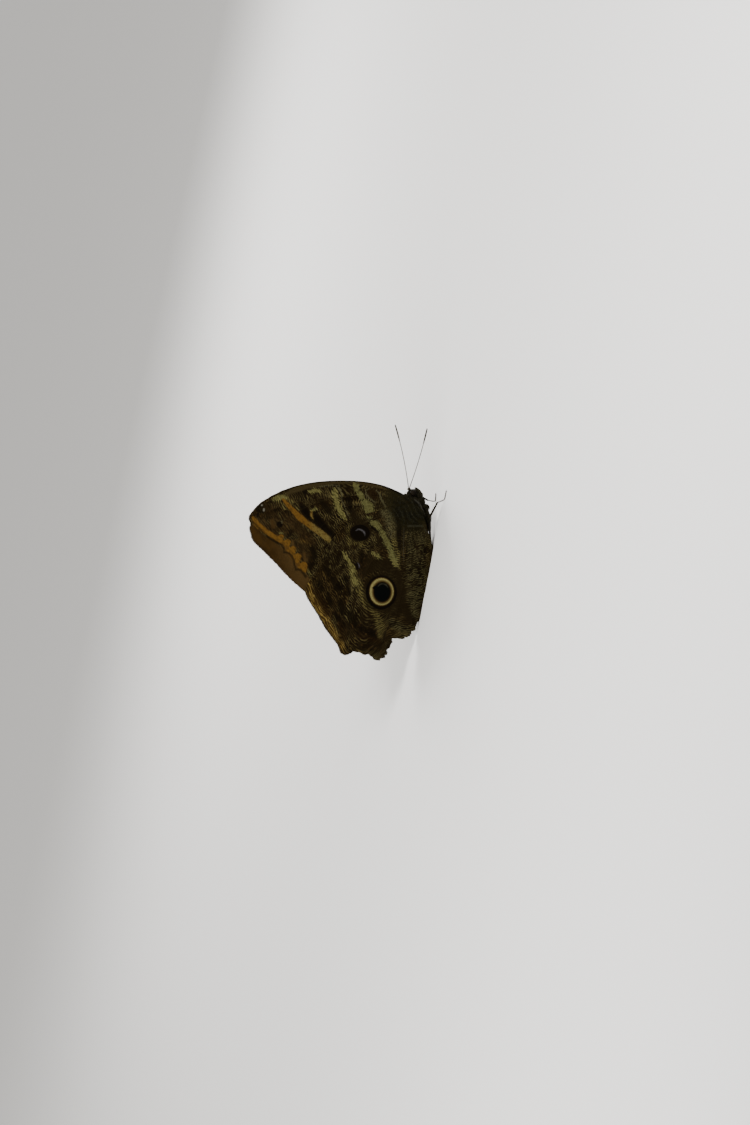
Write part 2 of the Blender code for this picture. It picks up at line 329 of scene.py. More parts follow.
class Tree:
    """A node tree with one way of making nodes."""

    def __init__(self, tree: bpy.types.NodeTree) -> None:
        """Wraps an empty or new tree."""
        self.tree = tree

    def node(self, kind: str, settings: dict | None = None, **sockets: object) -> bpy.types.Node:
        """Makes a node.

        Args:
            kind: The node's type.
            settings: Properties that are set before the sockets.
            **sockets: Values or links by socket name, with _ for a space, or iN for the Nth socket.

        Returns:
            The new node.
        """
        made = self.tree.nodes.new(kind)
        for name, value in (settings or {}).items():
            setattr(made, name, value)
        for name, value in sockets.items():
            numbered = name[0] == "i" and name[1:].isdigit()
            target = made.inputs[int(name[1:]) if numbered else name.replace("_", " ")]
            if isinstance(value, Socket):
                value = value.socket
            if isinstance(value, bpy.types.NodeSocket):
                self.tree.links.new(value, target)
            else:
                target.default_value = value
        return made


def operator(name: str, turned: bool = False) -> Callable[["Socket", "Number"], "Socket"]:
    """Makes an operator of Socket.

    Args:
        name: The operation of the Math node that it adds.
        turned: Whether the node's two values are turned round.

    Returns:
        The operator.
    """

    def method(self: "Socket", other: "Number") -> "Socket":
        """The node's output."""
        return self.tree.math(name, *((other, self) if turned else (self, other)))

    return method


class Socket:
    """A number on a shader socket, on which Python's operators add Math nodes."""

    __add__ = __radd__ = operator("ADD")
    __sub__, __rsub__ = operator("SUBTRACT"), operator("SUBTRACT", True)
    __mul__ = __rmul__ = operator("MULTIPLY")
    __truediv__ = operator("DIVIDE")

    def __init__(self, tree: "Shader", socket: bpy.types.NodeSocket) -> None:
        """Wraps one output socket."""
        self.tree, self.socket = tree, socket


Number = Socket | float
Tint = Socket | Colour


def scaled(numbers: Point3, times: float) -> Point3:
    """Three numbers, such as a colour, each multiplied."""
    return tuple(times * number for number in numbers)


class Shader(Tree):
    """A material's nodes, ending in one Principled shader."""

    def __init__(self, name: str) -> None:
        """Makes an empty material.

        Args:
            name: Its name.
        """
        self.material = bpy.data.materials.new(name)
        self.material.use_nodes = True
        super().__init__(self.material.node_tree)
        self.tree.nodes.clear()

    def get(
        self, output: int | str, kind: str, settings: dict | None = None, **sockets: object
    ) -> Socket:
        """One output of a new node, which node() makes from the rest."""
        return Socket(self, self.node(kind, settings, **sockets).outputs[output])

    def math(self, operation: str, *values: Number, clamp: bool = False) -> Socket:
        """One Math node on up to three values."""
        sockets = {f"i{k}": value for k, value in enumerate(values)}
        return self.get(0, "ShaderNodeMath", {"operation": operation, "use_clamp": clamp}, **sockets)

    def step(self, value: Number, low: float, high: float, top: float = 1.0) -> Socket:
        """A smooth step.

        Args:
            value: What it follows.
            low: Where it is 0.
            high: Where it is top, above or below low.
            top: Its greatest value.

        Returns:
            The step's output.
        """
        ends = (value, low, high, 0.0, top) if low < high else (value, high, low, top, 0.0)
        sockets = {f"i{k}": end for k, end in enumerate(ends)}
        return self.get(0, "ShaderNodeMapRange", {"interpolation_type": "SMOOTHSTEP"}, **sockets)

    def mix(self, share: Number, first: Tint, second: Tint, kind: str = "MIX") -> Socket:
        """Mixes two colours.

        Args:
            share: How much of the second shows.
            first: The first colour.
            second: The second colour.
            kind: The way of mixing.

        Returns:
            The mixed colour.
        """
        first, second = (c if isinstance(c, Socket) else (*c, 1.0) for c in (first, second))
        settings = {"data_type": "RGBA", "blend_type": kind}
        return self.get(2, "ShaderNodeMix", settings, i0=share, i6=first, i7=second)

    def number(self, name: str) -> Socket:
        """A number that the mesh carries."""
        return self.get("Fac", "ShaderNodeAttribute", {"attribute_name": name})

    def vector(self, name: str) -> Socket:
        """A vector that the mesh carries."""
        return self.get("Vector", "ShaderNodeAttribute", {"attribute_name": name})

    def place(self, scale: Point3 = (1.0, 1.0, 1.0)) -> Socket:
        """Object coordinates in millimetres, stretched by a scale on each axis."""
        return self.stretch(self.get("Object", "ShaderNodeTexCoord"), scaled(scale, 1.0 / MM))

    def stretch(self, vector: Socket, scale: Point3) -> Socket:
        """A vector multiplied by a scale on each axis."""
        return self.get(0, "ShaderNodeVectorMath", {"operation": "MULTIPLY"}, i0=vector, i1=scale)

    def parts(self, vector: Socket) -> list[Socket]:
        """The three numbers of a vector."""
        outputs = self.node("ShaderNodeSeparateXYZ", None, i0=vector).outputs
        return [Socket(self, output) for output in outputs]

    def noise(self, vector: Socket, scale: float = 1.0, detail: float = 2.0, rough: float = 0.5) -> Socket:
        """Smooth noise from about 0 to 1."""
        sockets = {"Vector": vector, "Scale": scale, "Detail": detail, "Roughness": rough}
        return self.get("Fac", "ShaderNodeTexNoise", None, **sockets)

    def cells(self, vector: Socket, scale: float, feature: str = "F1", output: str = "Distance") -> Socket:
        """A Voronoi pattern's distance or cell colour."""
        return self.get(output, "ShaderNodeTexVoronoi", {"feature": feature}, Vector=vector, Scale=scale)

    def bump(self, height: Socket, distance_mm: float, strength: float = 1.0) -> Socket:
        """A normal bent by a height of so many millimetres."""
        sockets = {"Strength": strength, "Distance": distance_mm * MM, "Height": height}
        return self.get(0, "ShaderNodeBump", None, **sockets)

    def finish(self, settings: dict, **sockets: object) -> Material:
        """Ends the material in a Principled shader.

        Args:
            settings: Sockets that take a fixed value, by their full name.
            **sockets: Sockets that take a link, as node() names them.

        Returns:
            The finished material.
        """
        shader = self.node("ShaderNodeBsdfPrincipled", None, **sockets)
        for name, value in settings.items():
            shader.inputs[name].default_value = value
        self.node("ShaderNodeOutputMaterial", None, Surface=shader.outputs[0])
        return self.material


def link(obj: Object) -> Object:
    """Puts a new object in the scene and gives it back."""
    bpy.context.scene.collection.objects.link(obj)
    return obj


def plain_mesh(name: str, points: Array, faces: Iterable = ()) -> bpy.types.Mesh:
    """Makes a mesh of points as they are.

    Args:
        name: The mesh's name.
        points: Its vertices.
        faces: Lists of vertex numbers.

    Returns:
        The mesh.
    """
    mesh = bpy.data.meshes.new(name)
    mesh.from_pydata(points.tolist(), [], [list(map(int, face)) for face in faces])
    return mesh


def evaluated_mesh(obj: Object) -> bpy.types.Mesh:
    """Makes a plain mesh of what an object's modifiers make of it.

    Args:
        obj: The object, which is removed.

    Returns:
        The mesh.
    """
    graph = bpy.context.evaluated_depsgraph_get()
    mesh = bpy.data.meshes.new_from_object(obj.evaluated_get(graph))
    bpy.data.objects.remove(obj)
    return mesh


def read_numbers(values: bpy.types.bpy_prop_collection, name: str, count: int, size: int = 3) -> Array:
    """Reads numbers of a mesh's vertices or the like.

    Args:
        values: The parts that carry them.
        name: The property that holds them.
        count: How many parts there are.
        size: How many numbers each has.

    Returns:
        One row for each part.
    """
    numbers = np.zeros(count * size, np.float32)
    values.foreach_get(name, numbers)
    return numbers.reshape(count, size).astype(float)


def make_object(
    name: str, points: Array, faces: Iterable, materials: Sequence[Material], sharp_deg: float = 40.0
) -> Object:
    """Makes a smooth mesh object at the origin from animal millimetres.

    Args:
        name: The object's name.
        points: The vertices, in millimetres.
        faces: Lists of vertex numbers, turned outwards.
        materials: The materials, in slot order.
        sharp_deg: Edges that bend more than this stay sharp.

    Returns:
        The new object.
    """
    mesh = plain_mesh(name, to_row(points), faces)
    mesh.shade_smooth()
    mesh.set_sharp_from_angle(angle=math.radians(sharp_deg))
    for material in materials:
        mesh.materials.append(material)
    return link(bpy.data.objects.new(name, mesh))


def add_numbers(mesh: bpy.types.Mesh, name: str, values: Array) -> None:
    """Gives each vertex a number."""
    mesh.attributes.new(name, "FLOAT", "POINT").data.foreach_set("value", np.asarray(values, np.float32))


def add_vectors(mesh: bpy.types.Mesh, name: str, values: Array) -> None:
    """Gives each vertex a vector."""
    data = mesh.attributes.new(name, "FLOAT_VECTOR", "POINT").data
    data.foreach_set("vector", np.asarray(values, np.float32).ravel())


def add_bake_map(mesh: bpy.types.Mesh, uv: Array) -> None:
    """Gives the mesh its bake map.

    Args:
        mesh: The mesh.
        uv: One place for each vertex.
    """
    corners = np.zeros(len(mesh.loops), np.int32)
    mesh.loops.foreach_get("vertex_index", corners)
    layer = mesh.uv_layers.new(name=BAKE_MAP)
    layer.uv.foreach_set("vector", np.asarray(uv, np.float32)[corners].ravel())


def settle(piece: Object, slot: str, *nodes: str) -> None:
    """Fixes a finished piece to the body.

    Args:
        piece: The piece.
        slot: Not used.
        *nodes: The solids that it stands for.
    """
    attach(piece, BODY)
    if nodes:
        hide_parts(*nodes)
    LOG.info("%s: %d faces", piece.name, len(piece.data.polygons))


def circle(count: int) -> Array:
    """Evenly spaced angles of a full turn."""
    return np.linspace(0, FULL_TURN, count, endpoint=False)


def folded(points: Array) -> Array:
    """Points with those of the right side mirrored to the left."""
    return points * (1, 0, 1) + np.abs(points) * (0, 1, 0)


class Side(Enum):
    """The animal's two sides, with the sign of y on each."""

    LEFT = 1
    RIGHT = -1

    @property
    def word(self) -> str:
        """The side's name in lower case."""
        return self.name.lower()

    @property
    def outwards(self) -> Point3:
        """The way out of the animal on this side."""
        return (0.0, float(self.value), 0.0)

    def mirror(self, points: Sequence | Array) -> Array:
        """Places of the left side, moved to this one."""
        return np.multiply(points, (1, self.value, 1))


# What a marking paints. Each value, in lower case, names the number that the mesh carries for it
Area = StrEnum(
    "Area",
    "YELLOW ORANGE HONEY DARK PALE BORDER HALO GOLD STRAW GREY SHADE TAN RUST LACE MIST NET NICK GLEAM INK"
    " VEIL SEAM",
)

# Markings by what they paint and by name. Each follows a smooth line through its stops, which are a
# pixel of the photograph, across and down, and the marking's half width there in millimetres, by turns
Marks = dict[Area, dict[str, Numbers]]


@dataclass(frozen=True)
class Eyespot:
    """An oval eyespot: its middle and half axes in photograph pixels."""

    name: str
    middle: Point2
    half: Point2


FORE_MARKS: Marks = {
    Area.ORANGE: {
        "slanting band": (283.5, 499.5, 0.55, 288.5, 505.5, 0.85, 294.5, 511.8, 1.2, 300.5, 518, 1.4,
            306, 522.3, 1.3, 312.5, 527, 1.35, 318.5, 531.3, 1.4, 325.5, 536.8, 1.35, 330, 540.8, 1),
        "outer band": (254, 518.3, 0.8, 257, 523.3, 1.3, 262, 528.3, 1.35, 268, 532.6, 1.25,
            275, 537.3, 1.15, 281, 541, 1.05, 286, 544.3, 0.9),
        "first tooth": (279.5, 539, 1.1, 281.6, 537, 1.15),
        "second tooth": (285.6, 543, 1.1, 288.6, 541.7, 1.15, 288.2, 545.2, 0.95),
        "third tooth": (290, 549.8, 1.1, 293.5, 549, 1.3, 293.2, 552.6, 1),
        "fourth tooth": (295.4, 556.8, 1, 298.7, 556.4, 1.4, 297.8, 561, 1.05),
        "fifth tooth": (301, 566, 1.25, 304.3, 565.4, 1.5, 304.6, 569.8, 1.2),
        "hook, lower half": (311.8, 512, 0.45, 311.6, 515.5, 0.5, 313, 518.8, 0.25),
    },
    Area.HONEY: {
        "inner half": (281, 542, 0.8, 285, 545.2, 1, 289.7, 551.3, 1.25, 294.8, 558.8, 1.25,
            300.8, 568.5, 0.9),
    },
    Area.STRAW: {
        "outer band's end": (307.5, 570, 0.7, 310.5, 574, 0.85, 314, 580, 0.5),
        "line to the band": (277, 500.5, 0.5, 283, 505, 0.9, 289, 511, 0.6),
        "streak above the band": (288, 499, 0.3, 293, 503.5, 0.5, 299, 510, 0.3),
        "broad band, fourth piece": (369.5, 516, 1.3, 375, 513, 1.2, 377, 517.5, 1.2),
    },
    Area.YELLOW: {
        "green fleck": (280, 533.5, 0.3, 283, 533.3, 0.4),
        "front patch": (275.3, 499.2, 1, 279.8, 497.9, 1.45, 285, 497.6, 1.2),
        "hook": (317.3, 509.7, 0.45, 314.3, 509, 0.7, 311.9, 511.3, 0.55),
        "green patch": (310.5, 491.8, 0.9, 314.5, 491, 1.25, 318.8, 491.5, 0.9),
        "yellow band": (334.8, 489.5, 0.85, 335, 495.5, 1.2, 336.5, 502, 1.35, 338.5, 508, 1.3,
            341.5, 513.5, 1.2, 345, 518.3, 0.8),
        "broad band, first piece": (355, 485.5, 1.4, 356.8, 489.5, 1.5),
        "broad band, second piece": (359.5, 493, 1.3, 361.5, 498, 1.25),
        "broad band, third piece": (365.3, 502, 1.5, 368.3, 507, 2.3, 369.8, 511.8, 1.8),
    },
    Area.TAN: {
        "tan patch": (313.5, 486, 0.9, 319, 485.7, 0.95),
        "front strip": (386, 489.5, 0.3, 372, 485.4, 0.5, 355, 483.2, 0.45, 338, 483.2, 0.5,
            322, 484.4, 0.65, 306, 487.3, 1, 296, 490.3, 1.2, 287, 493.8, 0.7),
    },
    Area.LACE: {
        "front line": (320, 486.8, 0.2, 327, 486, 0.3, 334, 485.4, 0.3, 341, 486.2, 0.15),
        "yellow band, edge": (337.5, 487.5, 0.3, 341.5, 492, 0.35, 342, 500, 0.25, 345.5, 509, 0.3,
            350, 518, 0.3),
        "front loop": (368.5, 488.3, 0.2, 365.7, 491.5, 0.3, 367.5, 496.5, 0.35, 372, 500.3, 0.35,
            376, 503, 0.2),
        "rear loop": (376, 490.3, 0.2, 379.5, 494.5, 0.4, 382, 500.5, 0.45, 386, 507.5, 0.3),
        "blind eyespot's light": (281.9, 521.9, 0.42, 282.6, 523.3, 0.3),
    },
    Area.RUST: {
        "red-brown patch": (370, 491, 1.3, 373.5, 493.5, 1.7, 374.5, 497, 1),
    },
    Area.DARK: {
        "wedge": (301.5, 505, 0.7, 305.5, 511, 1.6, 308, 516, 1.1, 311, 520.5, 0.5),
        "wedge, middle": (315, 514.5, 0.8, 317.5, 519.5, 1.7, 322.5, 525.3, 1.8, 327, 530, 1.3),
        "wedge, tail": (327, 530, 1.1, 331.5, 534, 1.1, 335, 538.5, 0.6),
    },
    Area.SEAM: {
        "seam, first reach": (253.5, 521.5, 0.25, 257, 525.5, 0.3, 262.5, 531.5, 0.35, 269.5, 537.5, 0.4,
            276.5, 542, 0.45, 283, 545, 0.4),
        "seam, second reach": (283, 545, 0.4, 284.2, 548.5, 0.3, 284.6, 552, 0.35),
        "seam, third reach": (284.6, 552.3, 0.42, 288.8, 553.2, 0.4, 292, 556, 0.48, 294, 560, 0.45),
        "seam, fourth reach": (294, 560, 0.42, 295, 565, 0.32, 296.3, 569.2, 0.4),
        "seam, fifth reach": (296.3, 569.5, 0.42, 300.5, 569.8, 0.45, 303.5, 573, 0.5, 306, 576.6, 0.55),
    },
    Area.INK: {
        "front edge": (402, 494.8, 0.5, 390, 488.6, 0.5, 375, 483.4, 0.4, 355, 480.9, 0.28,
            335, 481.1, 0.22, 310, 483.4, 0.22, 290, 488.8, 0.22, 272, 497, 0.2, 256, 510, 0.15),
        "band's dot": (258.5, 514.5, 0.5, 258.2, 517, 0.35),
        "blind eyespot": (280, 524.4, 1.25, 280.5, 525, 1.2),
    },
    Area.SHADE: {
        "dark tip": (262.3, 506, 1.1, 259.6, 509, 1.4, 263, 512.3, 0.8),
        "second blind eyespot": (290.8, 532.3, 1.15, 290.3, 534, 1),
        "tip cloud": (275, 510.5, 0.8, 278.5, 510.3, 0.7),
        "second tip cloud": (268, 518, 0.8, 270, 519.5, 0.6),
        "front cloud": (306.5, 490, 0.9, 305.5, 493, 0.8),
        "middle cloud": (348, 496, 1.1, 349.5, 505, 1.4, 352, 513, 1.1),
        "hook's cloud": (321, 502, 1.1, 326.5, 508.5, 1.5, 331, 514, 1),
        "rear cloud": (312.5, 549, 1.2, 314, 558, 1.6, 310.5, 567, 1),
    },
    Area.PALE: {
        "first white dot": (262.5, 505.6, 0.45),
        "second white dot": (264.6, 509.5, 0.45, 264.5, 510.8, 0.42),
    },
    Area.HALO: {
        "eyespot's cloud": (353.5, 509, 0.6, 354.5, 514, 1.2, 355.5, 520, 1.6),
    },
    Area.BORDER: {
        "first rosy streak": (293, 541.5, 0.6, 293.8, 547, 0.5),
        "second rosy streak": (304.5, 554, 0.65, 305.5, 560, 0.55),
        "border": (254, 528, 1.4, 258, 537.5, 2.9, 268, 547.5, 3.9, 279.5, 557.5, 4.5, 291, 570, 4.5,
            302, 583, 4.1, 309, 590, 3),
        "tint by the eyespot": (272.5, 522, 0.9, 274, 526.5, 1),
    },
    Area.GREY: {
        "grey patch": (302, 548, 1.1, 305.5, 549.5, 1.1),
    },
    Area.GOLD: {
        "amber streak": (301.5, 541.5, 0.9, 306.5, 541, 0.9),
    },
    Area.VEIL: {
        "tip": (266, 507, 1.6, 270, 511, 2.4, 274, 518, 2.6, 284, 532, 2),
        "along the outer band": (259, 515, 1.2, 264, 522, 1.7, 272, 530, 1.8, 281, 535, 1.2),
        "along the slanting band": (286, 516, 1.6, 293, 524, 2, 302, 533, 2.2, 312, 541, 1.6),
        "by the teeth": (298, 545, 2.2, 305, 551, 2.6, 309, 559, 1.8),
    },
}

HIND_MARKS: Marks = {
    Area.YELLOW: {
        "band, start": (367, 517, 0.5, 370.5, 518.3, 0.7),
        "band, first piece": (371.5, 522.3, 1, 375.8, 524.5, 1.75, 379, 528.3, 1.1),
        "band, second piece": (382, 532, 1.2, 384.8, 537.5, 1.35, 387.3, 543, 1.5, 389.5, 547.5, 1.2),
        "band, third piece": (391.5, 551.5, 1.2, 393, 557, 1.4, 394.8, 562, 1.15, 396.8, 566.5, 0.7),
        "streak above the eyespot": (372.6, 552.8, 0.5, 377, 555.6, 0.85, 381, 558.3, 0.5),
        "long band, start": (343, 552.5, 0.6, 347, 558.5, 0.85, 351, 565.5, 1.1, 354, 571.5, 1),
        "long band, next": (351.5, 574, 0.9, 354, 579, 1.15, 357, 584, 0.9),
    },
    Area.STRAW: {
        "band, soft side": (393, 539, 0.8, 396, 549, 1.2, 397, 560, 1.1, 399, 569, 0.5),
        "streak below the eyespot": (348.3, 530, 0.6, 348.8, 537, 0.95, 350, 543.5, 0.8),
        "smear below the eyespot": (353, 542.5, 0.6, 359, 543.8, 1.1, 365, 543, 0.7),
        "long band": (349, 561, 1, 353, 572, 1.5, 356.5, 581, 2, 361, 591, 2, 365, 600, 1.6, 371, 609, 1.3,
            377, 617, 1.6, 380, 627, 1.9, 380, 636, 1.2),
        "light under the eyespot": (371.5, 611.5, 0.5, 375, 614, 1, 379, 615, 0.6),
    },
    Area.INK: {
        "band, dark line": (370.3, 525.3, 0.25, 374, 528.7, 0.45, 378.3, 532.3, 0.35),
        "dark dash": (356.8, 564.5, 0.75, 357.8, 568, 0.7),
    },
    Area.SHADE: {
        "line beside the band": (399.3, 508, 0.3, 400, 525, 0.6, 400.3, 545, 0.6, 400.6, 566, 0.3),
        "olive strip": (397, 504, 0.5, 397.6, 520, 0.7, 398, 536, 0.7, 399.5, 550, 0.4),
        "pale bar, upper line": (406.5, 523.6, 0.2, 422, 523.6, 0.2),
        "pale bar, lower line": (406.5, 528.8, 0.3, 422, 528.8, 0.3),
        "first dark spot": (325, 568, 1.2, 329, 574, 1.3),
        "second dark spot": (333.5, 579, 1.4, 338, 588, 1.7),
        "third dark spot": (320.5, 582, 1, 322, 590, 0.9),
        "fourth dark spot": (328, 594, 1, 331.5, 604, 1.2),
        "fifth dark spot": (340, 602, 1.4, 344, 612, 1.5),
        "sixth dark spot": (335.5, 613, 0.9, 338, 620, 1),
        "seventh dark spot": (350, 614, 1.7, 354.5, 624, 1.7),
        "eighth dark spot": (362, 629, 1.2, 371, 633, 1.6, 380, 633.5, 1),
        "spot beside the band": (362, 554, 1, 360.5, 560, 0.9),
        "dark middle": (344, 575, 0.6, 347, 584, 0.9, 349, 594, 0.8),
    },
    Area.NET: {
        "netted patch": (384, 511, 1.3, 388, 518, 2, 391, 527, 1.9, 392, 536, 1.2),
    },
    Area.GLEAM: {
        "dark dash": (357.6, 563, 0.05, 359, 565, 0.24, 359.2, 567.8, 0.08),
        "small eyespot": (356, 530.6, 0.08, 358.5, 529.4, 0.26, 361.8, 530.3, 0.26, 364.3, 532.6, 0.34,
            365, 535.5, 0.06),
    },
    Area.MIST: {
        "large eyespot": (377.8, 586.6, 0.08, 380, 584.4, 0.3, 383, 583.9, 0.18, 386, 585, 0.32,
            388, 587.6, 0.08),
        "pale bar": (407.8, 526, 0.36, 422.5, 526, 0.36),
        "grey dash": (424.8, 529.5, 0.3, 426.5, 533, 0.12),
        "pale fold": (403.8, 528, 0.18, 403.5, 545, 0.16, 403.4, 562, 0.1),
    },
    Area.NICK: {
        "pupil's nick": (373.4, 587.8, 0.3, 375.2, 587.5, 0.5),
    },
    Area.HALO: {
        "above the small eyespot": (353, 520, 1.4, 360, 521.5, 1.8, 368, 525, 1),
        "beside the band": (377, 536, 0.9, 380, 541, 1.2, 385, 548, 0.8),
        "above the large eyespot": (365, 573.5, 1.3, 371, 568, 2.4, 380, 565.5, 2.8, 390, 568, 2.6,
            398, 575, 1.7),
        "behind the streak": (368, 560, 1.4, 374, 562.5, 1.7, 385, 562, 1.8, 390, 559, 0.8),
        "beside the large eyespot": (398, 576, 1.2, 401, 588, 1.6, 401.5, 600, 2.1, 397.5, 611, 2.1,
            390, 614, 0.8),
        "below the large eyespot": (401.5, 602, 1.7, 406, 611, 2.1, 410, 619, 1.3),
    },
    Area.GREY: {
        "rippled inner edge": (415.5, 534, 4.2, 416, 545, 4.6, 416, 560, 4.4, 416, 585, 3.9,
            414.5, 605, 3.2, 413, 620, 2.2),
        "rippled lower edge": (391, 622, 1.6, 398, 626, 2.3, 406, 629, 1.5),
    },
    Area.GOLD: {
        "golden outer edge": (307, 580, 1.2, 311, 594, 1.6, 317, 606, 2, 325, 620, 1.9, 333, 633, 1.7,
            341, 647, 1.5),
    },
    Area.RUST: {
        "first rusty tint": (316, 590, 0.9, 321, 600, 1.2, 327, 613, 1.3),
        "second rusty tint": (339, 624, 1.2, 344, 638, 1.3),
        "third rusty tint": (360, 636, 1, 378, 641, 1.2),
    },
    Area.VEIL: {
        "lower field": (337, 614, 1.6, 346, 627, 2.6, 358, 630, 3.4, 371, 631, 3.6, 383, 637, 2),
        "tail": (360, 645, 1.6, 372, 647, 2.2, 382, 648, 1.6),
        "middle field": (366, 557, 1.8, 364, 566, 2.2, 361, 577, 1.4),
    },
}
HIND_EYESPOTS = (
    Eyespot("eye_rim", (381.2, 592.5), (15.6, 17.1)),
    Eyespot("eye_large", (381.5, 591.7), (12.5, 14.2)),
    Eyespot("eye_pupil", (382.1, 592), (8.2, 9.6)),
    Eyespot("eye_small", (360, 532.8), (10, 8.1)),
    Eyespot("eye_small_pupil", (358.6, 534.6), (7.6, 5.8)),
)

# Veins as (x, z) in millimetres from the root to the edge, in order across the wing, front first
FORE_FRONT_STEM = ((-3.6, 15.3), (-3, 26), (-4.4, 38), (-6.8, 46.5))
FORE_REAR_STEM = ((-4.6, 14.5), (-6.6, 24), (-8.4, 34))
FORE_CELL_END = (-10.2, 42)
FORE_VEINS = (
    ((-3, 15.5), (0.2, 24), (0.9, 36), (-0.2, 47), (-2.2, 56.5)),
    ((-3.4, 15.5), (-1.2, 24), (-1, 36), (-2.8, 50), (-7.4, 65), (-13, 75.5), (-19, 81.8)),
    FORE_FRONT_STEM + ((-8.6, 54), (-12, 64), (-17.5, 75), (-22.4, 82.6)),
    FORE_FRONT_STEM + ((-9.6, 54), (-15, 66), (-22, 77.5), (-27, 82)),
    FORE_FRONT_STEM + ((-12.5, 58), (-22, 69), (-34.4, 76.2)),
    FORE_FRONT_STEM + ((-9.4, 46.4), (-16, 55), (-27, 64), (-39.7, 68.6)),
    FORE_REAR_STEM + (FORE_CELL_END, (-19, 50), (-31, 58), (-44.9, 61.6)),
    FORE_REAR_STEM + ((-11, 37.6), (-18, 42.5), (-32, 49.5), (-50, 53.2)),
    ((-4.6, 14.5), (-6.6, 24), (-9.4, 28.6), (-16, 34), (-32, 43), (-50.6, 46.8)),
    ((-5.2, 13.6), (-12, 22), (-24, 30), (-37.5, 35)),
)
FORE_STRUTS = (((-9.4, 46.4), FORE_CELL_END),)
HIND_FRONT_STEM = ((-6, 14), (-11.5, 20), (-18, 26.5), (-24.5, 31.8))
HIND_REAR_STEM = ((-6.2, 13.6), (-13, 17.5), (-20, 21))
HIND_CELL_END = (-27.5, 24)
HIND_VEINS = (
    ((-5.4, 14.4), (-9, 21.5), (-14.5, 30.5), (-22, 38.6), (-31, 44.6), (-42, 50.7)),
    HIND_FRONT_STEM + ((-36, 40.2), (-52.6, 51)),
    HIND_FRONT_STEM + ((-29, 33.6), (-42, 39.5), (-58.9, 45.3)),
    HIND_FRONT_STEM + ((-28.4, 30.6), (-33, 31.4), (-46, 36), (-64.8, 40.4)),
    HIND_REAR_STEM + (HIND_CELL_END, (-42, 30.6), (-56, 34.6), (-70.4, 35)),
    HIND_REAR_STEM + ((-33, 26.6), (-46, 29.6), (-60, 30.2), (-74.4, 29.4)),
    ((-6.2, 13.6), (-12, 16), (-20, 14.2), (-33, 11.3), (-46, 10.6), (-58, 11.4), (-72.6, 13.4)),
    ((-6.4, 12.6), (-14, 11.6), (-24, 9.8), (-35, 7.9), (-50, 4.3), (-58.8, 2.9)),
    ((-6.2, 12), (-12, 8.6), (-20, 5.2), (-32, 3.2), (-44, 1.6)),
)
HIND_STRUTS = (((-28.4, 30.6), (-29.2, 27), HIND_CELL_END),)

FORE_OUTLINE = (
    (-0.7, 16.6), (0.9, 21.3), (2.3, 29), (1.9, 40), (-1.2, 55.4), (-6.4, 68.2), (-13.8, 78.4),
    (-19.4, 82.5), (-22.2, 83.5), (-24.9, 82.3), (-27.2, 82.3), (-31.9, 79.9), (-34.7, 76),
    (-40, 68.4), (-45.2, 61.4), (-50.3, 53), (-51.9, 49.3), (-50.6, 46.2), (-38, 33.5),
    (-22, 21.5), (-8.6, 12.6), (-5, 11.4), (-2.4, 12.8),
)
HIND_OUTLINE = (
    (-3.4, 12.6), (-4.6, 16.4), (-8, 24.4), (-12.6, 33.6), (-19.6, 41.7), (-30, 47.6), (-42.1, 51.4),
    (-48.6, 53.2), (-52.8, 51.3), (-59.1, 45.6), (-65, 40.6), (-70.7, 34.6), (-74.5, 31.9),
    (-74.7, 29.3), (-72.7, 27), (-73.2, 22.4), (-72.3, 20), (-74.8, 17), (-74, 14.4),
    (-72.8, 12.6), (-68.4, 11.8), (-64.6, 10.8), (-63.7, 8.6), (-62.9, 5.3), (-59.6, 2.9), (-55.4, 1),
    (-51, 0), (-24, 0), (-19, 1.5), (-13.9, 4.2), (-9.6, 6.3), (-6, 8), (-4.3, 10.2),
)


@dataclass(frozen=True)
class WingFinish:
    """Colours of a wing's scales, in linear light, and the grain of its ripples."""

    ground: Colour
    stria: Colour
    base: Colour
    yellow: Colour = (0.073, 0.066, 0.0215)
    lime: Colour = (0.052, 0.051, 0.018)
    honey: Colour = (0.06, 0.045, 0.0125)
    amber: Colour = (0.06, 0.0305, 0.0055)
    dark: Colour = (0.002, 0.0013, 0.0006)
    pale: Colour = (0.064, 0.061, 0.047)
    border: Colour = (0.021, 0.0108, 0.0026)
    border_low: Colour = (0.031, 0.0185, 0.006)
    halo: Colour = (0.0057, 0.0037, 0.0013)
    gold: Colour = (0.105, 0.072, 0.0185)
    straw: Colour = (0.05, 0.042, 0.0135)
    grey: Colour = (0.031, 0.0275, 0.0112)
    shade: Colour = (0.0022, 0.0016, 0.0006)
    tan: Colour = (0.0185, 0.0135, 0.005)
    rust: Colour = (0.0065, 0.003, 0.0009)
    lace: Colour = (0.034, 0.031, 0.0145)
    ochre: Colour = (0.036, 0.0205, 0.0072)
    net: Colour = (0.038, 0.0345, 0.0155)
    mist: Colour = (0.0145, 0.0135, 0.0082)
    gleam: Colour = (0.036, 0.0335, 0.0345)
    ring: Colour = (0.106, 0.092, 0.034)
    pupil: Colour = (0.0008, 0.001, 0.0009)
    veil_low: Colour = (0.0032, 0.0019, 0.0007)
    veil_high: Colour = (0.0135, 0.009, 0.0036)
    speckle: Tints = ((0.5, 0.5, 0.5), (1.5, 1.47, 1.42))
    inner: Tints = ((0.012, 0.008, 0.005), (0.03, 0.018, 0.01))
    ripple_mm: float = 0.9
    scale_mm: float = 0.13
    gloss: float = 0.012
    relief_mm: float = 0.05

    def underside(self, name: str) -> Material:
        """Makes the dull brown of the hidden inner side.

        Args:
            name: The material's name.

        Returns:
            The material.
        """
        made = Shader(name)
        colour = made.mix(made.noise(made.place(), 0.25, 3.0), *self.inner)
        return made.finish({"Roughness": 0.6, "Specular IOR Level": 0.1}, Base_Color=colour)


